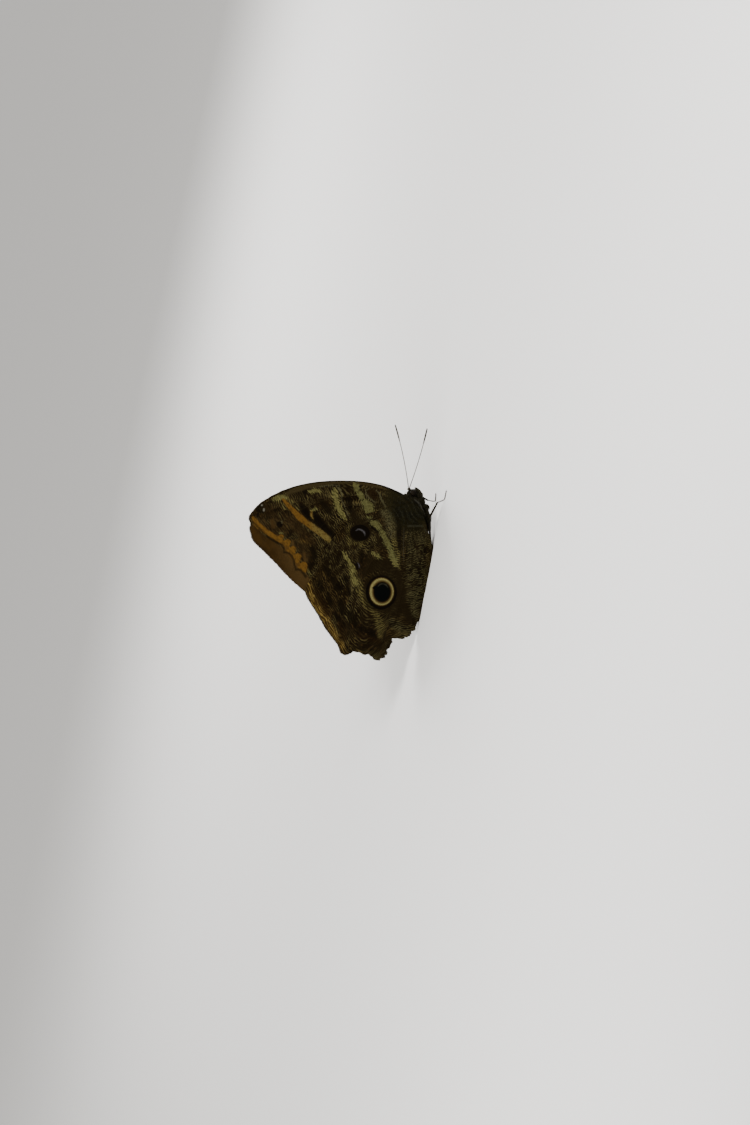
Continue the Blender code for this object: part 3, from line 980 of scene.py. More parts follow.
class WingPaint(Shader):
    """The outer side of one kind of wing. Its places are millimetres along and across the veins."""

    def __init__(self, name: str, finish: WingFinish) -> None:
        """Makes what all markings use: the places, the grain, the ripples and the scales.

        Args:
            name: The material's name.
            finish: Its colours.
        """
        super().__init__(name)
        self.tints = finish
        self.lay, self.reach = self.vector("lay"), self.number("reach")
        self.fine = self.noise(self.lay, 2.6, 3.0, 0.6) - 0.5
        self.drag = self.grain(1.9, 0.45, 3.0, 0.6) - 0.5
        self.ripple = self.ripples()
        self.scales = self.cells(self.place((1.0, 0.35, 1.0)), 1.0 / finish.scale_mm)
        scale_colour = self.cells(self.place((1.0, 0.35, 1.0)), 1.0 / finish.scale_mm, "F1", "Color")
        self.specks = self.parts(scale_colour)
        self.colour = self.fields()

    def grain(
        self, along: float, across: float, detail: float = 2.0, rough: float = 0.5, cell: float = 1.0
    ) -> Socket:
        """Noise with so many waves on each millimetre along and across the veins, and by cell."""
        return self.noise(self.stretch(self.lay, (along, across, cell)), 1.0, detail, rough)

    def ripples(self) -> Socket:
        """Short wavy lines across the veins.

        Returns:
            How much a place belongs to a pale line, from 0 to 1.
        """
        sway, shiver, jitter = self.grain(0.15, 0.12), self.grain(0.55, 0.45), self.grain(1.5, 0.9)
        phase = self.parts(self.lay)[0] / self.tints.ripple_mm + sway * 3.2 + shiver * 2.2 + jitter * 0.6
        wave = self.math("SINE", (phase + self.number("vein") * 0.14) * FULL_TURN)
        streak, fade = self.grain(1.2, 0.45, 3.0, 0.6), self.grain(0.17, 0.2, 3.0, 0.6, 0.7)
        return self.step(wave * 0.5 + (streak - 0.5) * 2.3 + (fade - 0.5) * 2.0, -0.02, 0.42)

    def inside(self, area: Area, soft: float, ragged: float, cut: float = 0.0) -> Socket:
        """How much a place lies in an area.

        Args:
            area: The area.
            soft: Half width of its soft edge in millimetres.
            ragged: How far the grain moves its edge.
            cut: How far the ripples cut into it.

        Returns:
            A share from 0 to 1.
        """
        edge = self.number(area.value) + self.fine * ragged + self.drag * ragged
        edge = edge + (self.specks[0] - 0.5) * (soft * 1.3)
        return self.step(edge + (0.5 - self.ripple) * cut if cut else edge, soft, -soft)

    def cover(
        self, area: Area, soft: float, ragged: float, share: float, tint: Tint, cut: float = 0.0
    ) -> None:
        """Paints an area over the colour so far, with the edge that inside() makes."""
        self.colour = self.mix(self.inside(area, soft, ragged, cut) * share, self.colour, tint)

    def fields(self) -> Socket:
        """The rippled ground with its large soft fields.

        Returns:
            Its colour.
        """
        tints, mix, step = self.tints, self.mix, self.step
        patch, warm = self.grain(0.1, 0.13), self.grain(0.07, 0.06, 1.0)
        blot = self.grain(0.24, 0.26, 3.0, 0.55)
        ground = mix(step(patch, 0.4, 0.66), tints.ground, scaled(tints.ground, 1.9))
        stria = mix(step(patch, 0.34, 0.6), tints.stria, scaled(tints.stria, 0.55))
        stria = mix(step(warm, 0.45, 0.62, 0.55), stria, tints.border)
        ground = mix(step(self.reach, 15.0, 9.0), ground, tints.base)
        gold, grey = self.inside(Area.GOLD, 1.3, 1.8), self.inside(Area.GREY, 1.3, 1.4)
        rust, shade = self.inside(Area.RUST, 0.9, 1.8), self.inside(Area.SHADE, 0.6, 1.7)
        stria = mix(grey, mix(gold, stria, tints.gold), tints.grey)
        stria = mix(rust * 0.6, stria, tints.rust)
        veil, coarse = self.inside(Area.VEIL, 1.4, 1.8), self.grain(2.4, 0.7, 2.0, 0.6)
        self.ripple = self.ripple * (1.0 - veil * 0.7) + veil * step(coarse, 0.46, 0.66, 0.7)
        ground = mix(veil * 0.8, mix(gold * 0.75, ground, tints.border), tints.veil_low)
        stria = mix(veil * 0.85, stria, tints.veil_high)
        strength = step(self.reach + self.drag * 9.0, 8.0, 15.0, 0.86) + 0.1
        strength = strength * (1.0 - shade * 0.72) * (step(blot, 0.38, 0.52, 0.64) + 0.36)
        colour = mix(self.ripple * strength, ground, stria)
        colour = mix(rust * 0.5, mix(shade * 0.6, colour, tints.shade), tints.rust)
        return mix(veil * step(self.grain(1.1, 0.75), 0.55, 0.75, 0.6), colour, tints.ochre)

    def markings(self) -> None:
        """Paints the markings that lie under the veins, from the broadest to the finest."""
        tints, mix, step = self.tints, self.mix, self.step
        straw = self.inside(Area.STRAW, 0.6, 1.5, 0.5) * (self.ripple * 0.85 + 0.1)
        self.colour = mix(straw, self.colour, tints.straw)
        mesh = self.cells(self.stretch(self.lay, (1.0, 0.62, 1.0)), 0.85, "DISTANCE_TO_EDGE")
        net = self.inside(Area.NET, 0.9, 1.6) * step(mesh + self.drag * 0.3, 0.2, 0.03, 0.85)
        self.colour = mix(net, self.colour, tints.net)
        cloud = step(self.grain(0.3, 0.2, 3.0), 0.38, 0.66)
        border = mix(cloud, tints.border, scaled(tints.border, 0.62))
        border = mix(step(self.reach, 66.0, 57.0, 0.75), border, tints.border_low)
        self.cover(Area.BORDER, 0.5, 0.6, 0.94, border)
        self.cover(Area.HALO, 0.7, 1.2, 0.9, tints.halo)
        self.cover(Area.TAN, 0.35, 0.5, 0.85, tints.tan)
        self.cover(Area.DARK, 0.22, 1.0, 0.95, tints.dark, 0.9)
        mottle, coarse = self.grain(0.9, 0.7, 3.0, 0.65), self.grain(2.4, 0.7, 2.0, 0.6)
        yellow = mix(step(self.reach, 24.0, 29.0), tints.lime, tints.yellow)
        yellow = mix((1.0 - self.ripple) * 0.5, yellow, scaled(tints.yellow, 0.5))
        yellow = mix(step(mottle, 0.48, 0.62, 0.7), yellow, scaled(tints.straw, 0.45))
        yellow = mix(step(coarse, 0.5, 0.72, 0.6), yellow, scaled(tints.lime, 0.4))
        self.cover(Area.YELLOW, 0.3, 1.2, 1.0, yellow, 0.7)
        amber = mix(step(self.reach, 42.0, 48.0), tints.honey, tints.amber)
        amber = mix(step(mottle, 0.45, 0.65, 0.75), amber, scaled(tints.border, 1.3))
        self.cover(Area.HONEY, 0.35, 0.4, 0.9, scaled(tints.border, 1.8))
        self.cover(Area.ORANGE, 0.3, 0.45, 1.0, amber, 0.15)
        self.cover(Area.SEAM, 0.4, 0.25, 0.8, tints.shade)
        self.cover(Area.INK, 0.15, 0.3, 0.95, tints.dark)
        vein = step(self.number("vein"), 0.22, 0.05) * step(self.reach, 10.0, 20.0, 0.13)
        self.colour = mix(vein, self.colour, tints.tan)

    def eyespots(self) -> None:
        """Paints the two eyespots."""
        tints, step, number = self.tints, self.step, self.number
        small, small_pupil = number("eye_small") + self.fine * 0.12, number("eye_small_pupil")
        large, rim = number("eye_large") + self.fine * 0.05, number("eye_rim") + self.fine * 0.1
        ring = self.mix(step(self.fine + 0.5, 0.42, 0.62, 0.6), tints.ring, scaled(tints.ring, 0.6))
        pupil = number("eye_pupil") + self.fine * 0.04 - step(number(Area.NICK.value), 0.5, -0.3, 0.28)
        for share, tint in (
            (step(small, 1.3, 1.02, 0.8), tints.halo),
            (step(small, 1.03, 0.95), tints.dark),
            (step(small_pupil, 1.0, 0.9, 0.7), tints.shade),
            (step(rim, 1.3, 1.08, 0.8), tints.halo),
            (step(rim, 1.04, 0.96), tints.dark),
            (step(large, 1.05, 1.0, 0.7), tints.border),
            (step(large, 1.0, 0.92), ring),
            (step(pupil, 1.34, 1.1, 0.92), tints.border),
            (step(pupil, 1.12, 1.0), tints.dark),
            (step(pupil, 0.94, 0.86), tints.pupil),
        ):
            self.colour = self.mix(share, self.colour, tint)

    def complete(self, spotted: bool) -> Material:
        """Paints the markings and ends the material.

        Args:
            spotted: Whether the wing has eyespots.

        Returns:
            The material.
        """
        tints = self.tints
        self.markings()
        if spotted:
            self.eyespots()
        self.cover(Area.LACE, 0.16, 0.6, 0.8, tints.lace, 0.3)
        self.cover(Area.MIST, 0.16, 0.16, 0.9, tints.mist)
        self.cover(Area.GLEAM, 0.28, 0.1, 1.0, tints.gleam)
        self.cover(Area.PALE, 0.12, 0.2, 0.9, tints.pale)
        colour = self.mix(0.4, self.colour, self.mix(self.specks[1], *tints.speckle), "MULTIPLY")
        height = self.scales * -1.0 + self.ripple * 0.3 + self.drag * 0.8
        normal = self.bump(height, tints.relief_mm, 0.6)
        sockets = {"Base_Color": colour, "Roughness": 0.6 + self.specks[2] * 0.2, "Normal": normal}
        return self.finish({"Specular IOR Level": tints.gloss}, **sockets)


@dataclass(frozen=True)
class WingPlan:
    """One kind of wing, in millimetres save for its marks and eyespots."""

    word: str
    outline: Line
    veins: tuple[Line, ...]
    struts: tuple[Line, ...]
    marks: Marks
    eyespots: tuple[Eyespot, ...]
    extra: float
    outwards: Point2
    rim_step: float = 0.24
    outer_step: float = 0.23
    inner_step: float = 0.7
    vein_step: float = 0.6
    mark_step: float = 0.22
    mark_reach: float = 4.0
    edge_reach: float = 5.0
    fray: tuple[tuple[int, float], ...] = ((13, 0.55), (7, 0.4), (4, 0.3))
    outer_map: Point2 = (0.72, 0.005)
    inner_map: Point2 = (0.743, 0.003)


def inside_loop(points: Array, loop: Array) -> Array:
    """Tells which points lie inside a closed loop.

    Args:
        points: The places.
        loop: The loop's corners.

    Returns:
        True or False for each place.
    """
    within = np.zeros(len(points), bool)
    for (x0, z0), (x1, z1) in zip(loop, np.roll(loop, -1, axis=0)):
        if z0 == z1:
            continue
        crosses = (z0 > points[:, 1]) != (z1 > points[:, 1])
        within ^= crosses & (points[:, 0] < x0 + (points[:, 1] - z0) * (x1 - x0) / (z1 - z0))
    return within


def nearest_distance(points: Array, line: Array, reach: float, less: Array | None = None) -> Array:
    """Distance from each point to the nearest point of a line.

    Args:
        points: The places.
        line: The line's points, close together.
        reach: Distances beyond this are all given as this.
        less: What is taken off the distance to each point of the line.

    Returns:
        One distance for each place.
    """
    less = np.zeros(len(line)) if less is None else less
    far = np.full(len(points), reach)
    widest = reach + float(less.max())
    low, high = line.min(0) - widest, line.max(0) + widest
    chosen = np.flatnonzero(((points > low) & (points < high)).all(1))
    for start in range(0, len(chosen), PLACES_AT_ONCE):
        part = chosen[start : start + PLACES_AT_ONCE]
        gaps = points[part, None, :] - line[None, :, :]
        far[part] = np.minimum(far[part], (np.sqrt((gaps**2).sum(2)) - less[None, :]).min(1))
    return far


def rim_distance(points: Array, rim: Array, reach: float) -> Array:
    """Distance from each point to a rim's nearest point, at most reach."""
    parts = [rim[start : start + 40] for start in range(0, len(rim), 40)]
    return np.min([nearest_distance(points, part, reach) for part in parts], axis=0)


def fill_loop(rim: Array, spacing: float) -> tuple[Array, Array]:
    """Fills a rim with an even triangle mesh.

    Args:
        rim: The outline's points, anticlockwise.
        spacing: Distance between the inner points.

    Returns:
        The points, rim first, and the triangles.
    """
    low, high = rim.min(0), rim.max(0)
    rows = np.arange(low[1], high[1], spacing * math.sqrt(3) / 2)
    x, z = np.meshgrid(np.arange(low[0], high[0], spacing), rows)
    x = x + (np.arange(len(rows)) % 2)[:, None] * spacing / 2
    grid = columns(x.ravel(), z.ravel())
    grid = grid[inside_loop(grid, rim)]
    every = np.concatenate([rim, grid[rim_distance(grid, rim, 1.0) > spacing * 0.6]])
    edges = [(k, (k + 1) % len(rim)) for k in range(len(rim))]
    points, _, faces, *_ = delaunay_2d_cdt([Vector(p) for p in every.tolist()], edges, [], 1, 1e-7)
    return np.array([tuple(p) for p in points]), np.array(faces)


class Wing:
    """A wing's fine sheet: its shape, the numbers that its markings need, and its two sides."""

    def __init__(self, plan: WingPlan, view: PhotoView) -> None:
        """Works out the shape and the markings of the outer side.

        Args:
            plan: The wing's plan.
            view: The photograph's view, in whose pixels the marks are written.
        """
        self.plan = plan
        length = sum(math.dist(a, b) for a, b in zip(plan.outline, plan.outline[1:]))
        rim = smooth_loop(plan.outline, int(length / plan.rim_step))
        after = np.roll(rim, -1, axis=0)
        if np.sum(rim[:, 0] * after[:, 1] - rim[:, 1] * after[:, 0]) < 0:
            rim = rim[::-1].copy()
        self.rim = self.worn(rim)
        self.outer, self.outer_faces = fill_loop(self.rim, plan.outer_step)
        self.inner, self.inner_faces = fill_loop(self.rim, plan.inner_step)
        self.numbers = self.measure(view)
        out = self.outer - SHEET.lay_centre
        around = np.arctan2(-out[:, 0], out[:, 1]) * SHEET.lay_radius
        self.lay = columns(self.along, around, self.numbers["cell"])

    def worn(self, rim: Array) -> Array:
        """Frays a rim: a little everywhere, and most along the outer edge near the floor.

        Args:
            rim: The rim's points.

        Returns:
            The moved points.
        """
        rng = np.random.default_rng(5)
        rough = np.zeros(len(rim))
        for width, size in self.plan.fray:
            kernel = np.hanning(width + 2)[1:-1]
            noise = np.tile(rng.normal(0, 1, len(rim)), 3)
            noise = np.convolve(noise, kernel / np.linalg.norm(kernel), "same")
            rough += size * noise[len(rim) : 2 * len(rim)]
        tatters = blend_step(-rim[:, 0], 50.0, 60.0) * blend_step(rim[:, 1], 34.0, 24.0)
        depth = (SHEET.wear[0] + SHEET.wear[1] * tatters) * rough * blend_step(rim[:, 1], 0.3, 2.0)
        return rim - self.edge_ways(rim) * (depth * (rim[:, 0] < -6.0))[:, None]

    @staticmethod
    def edge_ways(rim: Array) -> Array:
        """The ways out of a rim at its points."""
        ahead = np.roll(rim, -1, axis=0) - np.roll(rim, 1, axis=0)
        return unit(columns(ahead[:, 1], -ahead[:, 0]))

    def vein_relief(self, points: Array) -> tuple[Array, Array, Array, Array]:
        """Measures places on the wing by its veins.

        Args:
            points: The places.

        Returns:
            Distance to the nearest vein, height of the veins, number of the cell, and distance along them.
        """
        nearest, height, cell, along, weight = (np.full(len(points), v) for v in (9.0, 0.0, 0.0, 0.0, 0.0))
        for line in self.plan.veins + self.plan.struts:
            samples, share = smooth_line(line, self.plan.vein_step)
            thick = SHEET.vein_height[0] - SHEET.vein_height[1] * share
            tangents, length = np.gradient(samples, axis=0), travelled(samples)
            for start in range(0, len(points), PLACES_AT_ONCE):
                part = slice(start, start + PLACES_AT_ONCE)
                gaps = points[part, None, :] - samples[None, :, :]
                squared = (gaps**2).sum(2)
                index = squared.argmin(1)
                chosen = np.arange(len(index)), index
                gap, tangent = gaps[chosen], tangents[index]
                tangent = tangent / np.linalg.norm(tangent, axis=1)[:, None]
                across = tangent[:, 0] * gap[:, 1] - tangent[:, 1] * gap[:, 0]
                far = np.sqrt(squared[chosen])
                far = np.where(far < 1.5, np.maximum(np.abs(across), far - 0.35), far)
                nearest[part] = np.minimum(nearest[part], far)
                bump = thick[index] * np.exp(-((far / (0.14 + thick[index])) ** 2))
                height[part] = np.maximum(height[part], bump)
                if line in self.plan.veins:
                    cell[part] += across > 0
                    pull = 1.0 / (squared.min(1) + 1.5) ** 1.5
                    along[part] += pull * (length[index] + (tangent * gap).sum(1))
                    weight[part] += pull
        return nearest, height, cell, along / weight

    def mark_distances(self, view: PhotoView) -> dict[str, Array]:
        """How far each place on the outer side lies from each kind of marking and from the eyespots.

        Args:
            view: The photograph's view.

        Returns:
            Distances in millimetres by the area's name, and shares of the eyespots' sizes by theirs.
        """
        numbers, plan = {}, self.plan
        for area in Area:
            far = np.full(len(self.outer), plan.mark_reach)
            for stops in plan.marks.get(area, {}).values():
                stops = np.reshape(stops, (-1, 3))
                samples, share = smooth_line(view.on_wing(stops[:, :2], plan.extra), plan.mark_step)
                less = np.interp(share, np.linspace(0, 1, len(stops)), stops[:, 2])
                far = np.minimum(far, nearest_distance(self.outer, samples, plan.mark_reach, less))
            numbers[area.value] = far
        for spot in plan.eyespots:
            corners = np.array([spot.middle] * 3) + [(0, 0), (1, 0), (0, 1)]
            middle, right, down = view.on_wing(corners, plan.extra)
            pixels = (self.outer - middle) @ np.linalg.inv(np.stack([right - middle, down - middle]))
            numbers[spot.name] = np.hypot(pixels[:, 0] / spot.half[0], pixels[:, 1] / spot.half[1])
        return numbers

    def measure(self, view: PhotoView) -> dict[str, Array]:
        """Finds the numbers that the outer side's vertices carry.

        Args:
            view: The photograph's view.

        Returns:
            One array of numbers by each name.
        """
        numbers = self.mark_distances(view)
        numbers["vein"], self.relief, numbers["cell"], self.along = self.vein_relief(self.outer)
        reach = numbers["reach"] = np.hypot(*(self.outer - SHEET.lay_centre).T)
        self.relief *= 0.4 + 0.6 * blend_step(reach, 6.0, 20.0)
        # Towards the edge the ripples stand across one direction, out of the wing
        x, z = self.outer.T
        rear = 0.6 * blend_step(-x, 38.0, 58.0) * blend_step(z, 10.0, 22.0)
        turn = blend_step(reach, 16.0, 36.0) * np.maximum(blend_step(z, 8.0, 26.0), rear) * 0.85
        level = (self.outer - SHEET.lay_centre) @ np.array(self.plan.outwards)
        self.along = self.along * (1.0 - turn) + level * turn
        # Low behind the root they stand across another, backwards and down
        inner = blend_step(z, 16.0, 12.0) * blend_step(-x, 11.0, 17.0)
        level = -x - 0.47 * (z - 8.0)
        level += np.average(self.along - level, weights=inner * (1.0 - inner))
        self.along = self.along * (1.0 - inner) + level * inner
        numbers["cell"] = np.where(inner > 0.5, 0.0, numbers["cell"])
        numbers["vein"] = numbers["vein"] + inner * 0.3
        numbers["edge"] = rim_distance(self.outer, self.rim, self.plan.edge_reach)
        return numbers

    def middle(self, points: Array) -> Array:
        """How far the sheet's middle lies from the animal's middle plane, with its gentle waves.

        Args:
            points: Places on the wing.

        Returns:
            One distance for each place.
        """
        x, z = points.T
        broad, fine = SHEET.waves
        wave = broad * np.sin(x / 8.0 + 1.0) * np.sin(z / 11.0) + fine * np.sin((x + z) / 5.0)
        wave = wave * blend_step(np.hypot(x + 5.0, z - 14.0), 8.0, 30.0)
        return SHEET.tunnel(x, z) + self.plan.extra + wave

    def stand(self, points: Array, side: Side, out: float | Array) -> Array:
        """Places on the wing in space, at a height above its middle."""
        return columns(points[:, 0], side.value * (self.middle(points) + out), points[:, 1])

    def bake_places(self, points: Array) -> Array:
        """Places on the outer side's part of the bake map."""
        low, (size, start) = self.rim.min(0), self.plan.outer_map
        return np.clip((points - low) / (self.rim.max(0) - low).max(), 0.0, 1.0) * size + start

    def build(self, side: Side, outer: Material, inner: Material) -> None:
        """Makes the sheet of one side of the animal.

        Args:
            side: Which wing.
            outer: Material of the side that shows.
            inner: Material of the hidden side.
        """
        numbers, hollow = self.numbers, SHEET.sag * blend_step(self.numbers["vein"], 0.0, 2.4)
        hollow = hollow * blend_step(numbers["edge"], 0.0, 3.0)
        thick = SHEET.skin + SHEET.root_swell * np.exp(-numbers["reach"] / SHEET.root_fade)
        front = self.stand(self.outer, side, thick + self.relief - hollow)
        points = np.concatenate([front, self.stand(self.inner, side, -SHEET.skin)])
        start, ring = len(self.outer), np.arange(len(self.rim))
        after = (ring + 1) % len(ring)
        edge = columns(ring, after, start + after, start + ring)
        parts = [self.outer_faces, self.inner_faces[:, ::-1] + start, edge[:, ::-1]]
        if side is Side.LEFT:
            parts = [part[:, ::-1] for part in parts]
        faces = [face for part in parts for face in part.tolist()]
        name = f"{self.plan.word}_{side.word}"
        obj = make_object(f"{name}_sheet", points, faces, (outer, inner), 180.0)
        mesh = obj.data
        slots = np.ones(len(faces), np.int32)
        slots[: len(self.outer_faces)] = 0
        mesh.polygons.foreach_set("material_index", slots)
        rest = len(self.inner)
        for key, values in numbers.items():
            add_numbers(mesh, key, np.concatenate([values, np.full(rest, values.max())]))
        add_vectors(mesh, "lay", np.concatenate([self.lay, np.zeros((rest, 3))]))
        inner_map = self.bake_places(self.inner) / 3 + self.plan.inner_map
        add_bake_map(mesh, np.concatenate([self.bake_places(self.outer), inner_map]))
        settle(obj, self.plan.word, name)


@dataclass
class Mould:
    """Points and faces that are gathered into one mesh, with a number for each vertex."""

    points: list[Array] = field(default_factory=list)
    faces: Faces = field(default_factory=list)
    tones: list[Array] = field(default_factory=list)
    count: int = 0

    def add(self, points: Array, faces: Iterable, tone: float | Array = 0.0) -> None:
        """Adds one shape.

        Args:
            points: Its vertices.
            faces: Its faces, numbered from its own first vertex.
            tone: A number for all of it, or one for each vertex.
        """
        self.points.append(np.asarray(points, float))
        self.faces += [[int(k) + self.count for k in face] for face in faces]
        self.tones.append(np.broadcast_to(np.asarray(tone, float), len(points)))
        self.count += len(points)

    def make(self, name: str, *materials: Material) -> Object:
        """Makes the mesh object.

        Args:
            name: Its name.
            *materials: Its materials.

        Returns:
            The object, whose vertices carry their numbers as "tone".
        """
        obj = make_object(name, np.concatenate(self.points), self.faces, materials)
        add_numbers(obj.data, "tone", np.concatenate(self.tones))
        return obj

    def raw(self, name: str) -> Object:
        """Makes an object of the points as they are.

        Args:
            name: Its name.

        Returns:
            The object, whose vertices carry their numbers as "along".
        """
        obj = link(bpy.data.objects.new(name, plain_mesh(name, np.concatenate(self.points), self.faces)))
        obj.data.shade_smooth()
        add_numbers(obj.data, "along", np.concatenate(self.tones))
        return obj


def tube_faces(rings: int, sides: int) -> Faces:
    """Faces of a closed tube.

    Args:
        rings: How many rings of points it has.
        sides: How many points are in each ring. Two points for its ends follow the rings.

    Returns:
        Its faces, turned outwards.
    """
    faces, low, high = [], rings * sides, rings * sides + 1
    for row in range(rings - 1):
        for k in range(sides):
            a, b = row * sides + k, row * sides + (k + 1) % sides
            faces.append([a, b, b + sides, a + sides])
    for k in range(sides):
        after = (k + 1) % sides
        faces += [[low, after, k], [high, (rings - 1) * sides + k, (rings - 1) * sides + after]]
    return faces


def sweep(route: Sequence | Array, radii: Sequence[float] | Array, sides: int = 12) -> Shape:
    """A closed round tube along a route, with rounded ends.

    Args:
        route: The tube's middle line.
        radii: Its radius at each point of the line.
        sides: How many sides it has.

    Returns:
        Its points and faces.
    """
    route, radii = np.asarray(route, float), np.asarray(radii, float)
    tangents = np.gradient(route, axis=0)
    tangents /= np.linalg.norm(tangents, axis=1)[:, None]
    thin = np.array((0.0, 1.0, 0.0)) - tangents[:, 1:2] * tangents
    thin /= np.linalg.norm(thin, axis=1)[:, None]
    wide = np.cross(thin, tangents)
    turn = circle(sides)
    across = (radii[:, None] * np.cos(turn))[:, :, None] * wide[:, None, :]
    rings = route[:, None, :] + across + (radii[:, None] * np.sin(turn))[:, :, None] * thin[:, None, :]
    ends = [route[0] - tangents[0] * radii[0] * 0.5, route[-1] + tangents[-1] * radii[-1] * 0.5]
    return np.concatenate([rings.reshape(-1, 3), ends]), tube_faces(len(route), sides)


def ball(centre: Sequence[float], radii: Sequence[float], rows: int = 24, sides: int = 32) -> Shape:
    """A closed ellipsoid.

    Args:
        centre: Its middle.
        radii: Its half axes.
        rows: How many rows of faces it has from pole to pole.
        sides: How many faces are in a row.

    Returns:
        Its points and faces.
    """
    turn, around = np.linspace(0, math.pi, rows + 1)[1:-1, None], circle(sides)
    rings = columns(np.sin(turn) * np.cos(around), np.sin(turn) * np.sin(around), 0 * around - np.cos(turn))
    points = np.concatenate([rings.reshape(-1, 3), [(0, 0, -1), (0, 0, 1)]]) * radii + centre
    return points, tube_faces(rows - 1, sides)


@dataclass(frozen=True)
class Blade:
    """One closed three-sided blade along its tuft's Z axis, with its flat side towards +X.

    It has a foot and an end, a greatest half width, the thickness of its back, how far its end bends
    towards the skin, and its width at even steps from the foot as shares of the greatest.
    """

    root: Point3
    tip: Point3
    width: float
    thick: float
    sag: float
    fan: Numbers

    def add_to(self, mould: Mould) -> None:
        """Adds the blade.

        Args:
            mould: Where it is added. Its numbers run from 0 at the foot to 1 at the end.
        """
        root, tip, steps = np.array(self.root), np.array(self.tip), len(self.fan)
        points, faces = [], [[0, 1, 2]]
        for k, share in enumerate(self.fan):
            s, half = k / steps, self.width * share
            centre = root + (tip - root) * s - (self.sag * s * s, 0, 0)
            back = centre + (self.thick * (1.0 - 0.5 * s), 0, 0)
            points += [centre + (0, -half, 0), centre + (0, half, 0), back]
        points.append(tip - (self.sag, 0, 0))
        for a in range(0, 3 * (steps - 1), 3):
            faces += [[a + j, a + i, a + 3 + i, a + 3 + j] for i, j in ((0, 1), (1, 2), (2, 0))]
        last, end = 3 * (steps - 1), 3 * steps
        faces += [[last + j, last + i, end] for i, j in ((0, 1), (1, 2), (2, 0))]
        mould.add(np.array(points), faces, np.append(np.repeat(np.arange(steps) / steps, 3), 1.0))


class Tuft(Enum):
    """The small shapes of the coat. Each is one unit long, and its value is its blades' half width."""

    HAIR = 0.055
    SCALE = 0.26
    FRINGE = 0.1
    SPINE = 0.13

    def blades(self) -> Iterable[Blade]:
        """Makes the blades of the shape, in units rather than millimetres.

        Returns:
            One blade after another.
        """
        rng, width = np.random.default_rng(7), self.value
        if self is Tuft.SPINE:
            yield Blade((0, 0, 0), (0, 0, 1), width, 0.15, 0.12, (1.0, 0.7))
        elif self is Tuft.SCALE:
            for y, length in ((-0.3, 0.8), (0.02, 1.0), (0.33, 0.85)):
                yield Blade((0.02 * y, y, 0), (0.05, y * 1.1, length), width, 0.08, 0.16, (0.5, 1.0, 0.85))
        elif self is Tuft.FRINGE:
            for y in (-0.3, -0.1, 0.1, 0.3):
                end = (rng.normal(0, 0.05), y * 1.15 + rng.normal(0, 0.05), rng.uniform(0.75, 1.0))
                yield Blade((0, y, 0), end, width, 0.06, 0.0, (0.6, 1.0))
        else:
            for _ in range(6):
                y, x = rng.normal(0, 0.1, 2)
                ahead, aside = x * 0.4 + rng.uniform(-0.06, 0.1), y * 1.4 + rng.normal(0, 0.07)
                end, foot = (ahead, aside, rng.uniform(0.7, 1.05)), (x * 0.3, y, -0.05)
                yield Blade(foot, end, width, width, rng.uniform(0.12, 0.3), (0.7, 0.85))

    def make(self) -> Object:
        """Makes the shape.

        Returns:
            Its object.
        """
        mould = Mould()
        for blade in self.blades():
            blade.add_to(mould)
        return mould.raw(self.name)


@dataclass
class Roots:
    """Tufts' feet, the ways they point and face, sizes, one number each, and places on the bake map."""

    feet: Array
    aims: Array
    faces: Array
    sizes: Array
    tones: Array
    places: Array

    @classmethod
    def gather(cls, parts: Sequence["Roots"]) -> "Roots":
        """Joins several lots of roots."""
        names = [one.name for one in fields(cls)]
        return cls(*(np.concatenate([getattr(part, name) for part in parts]) for name in names))


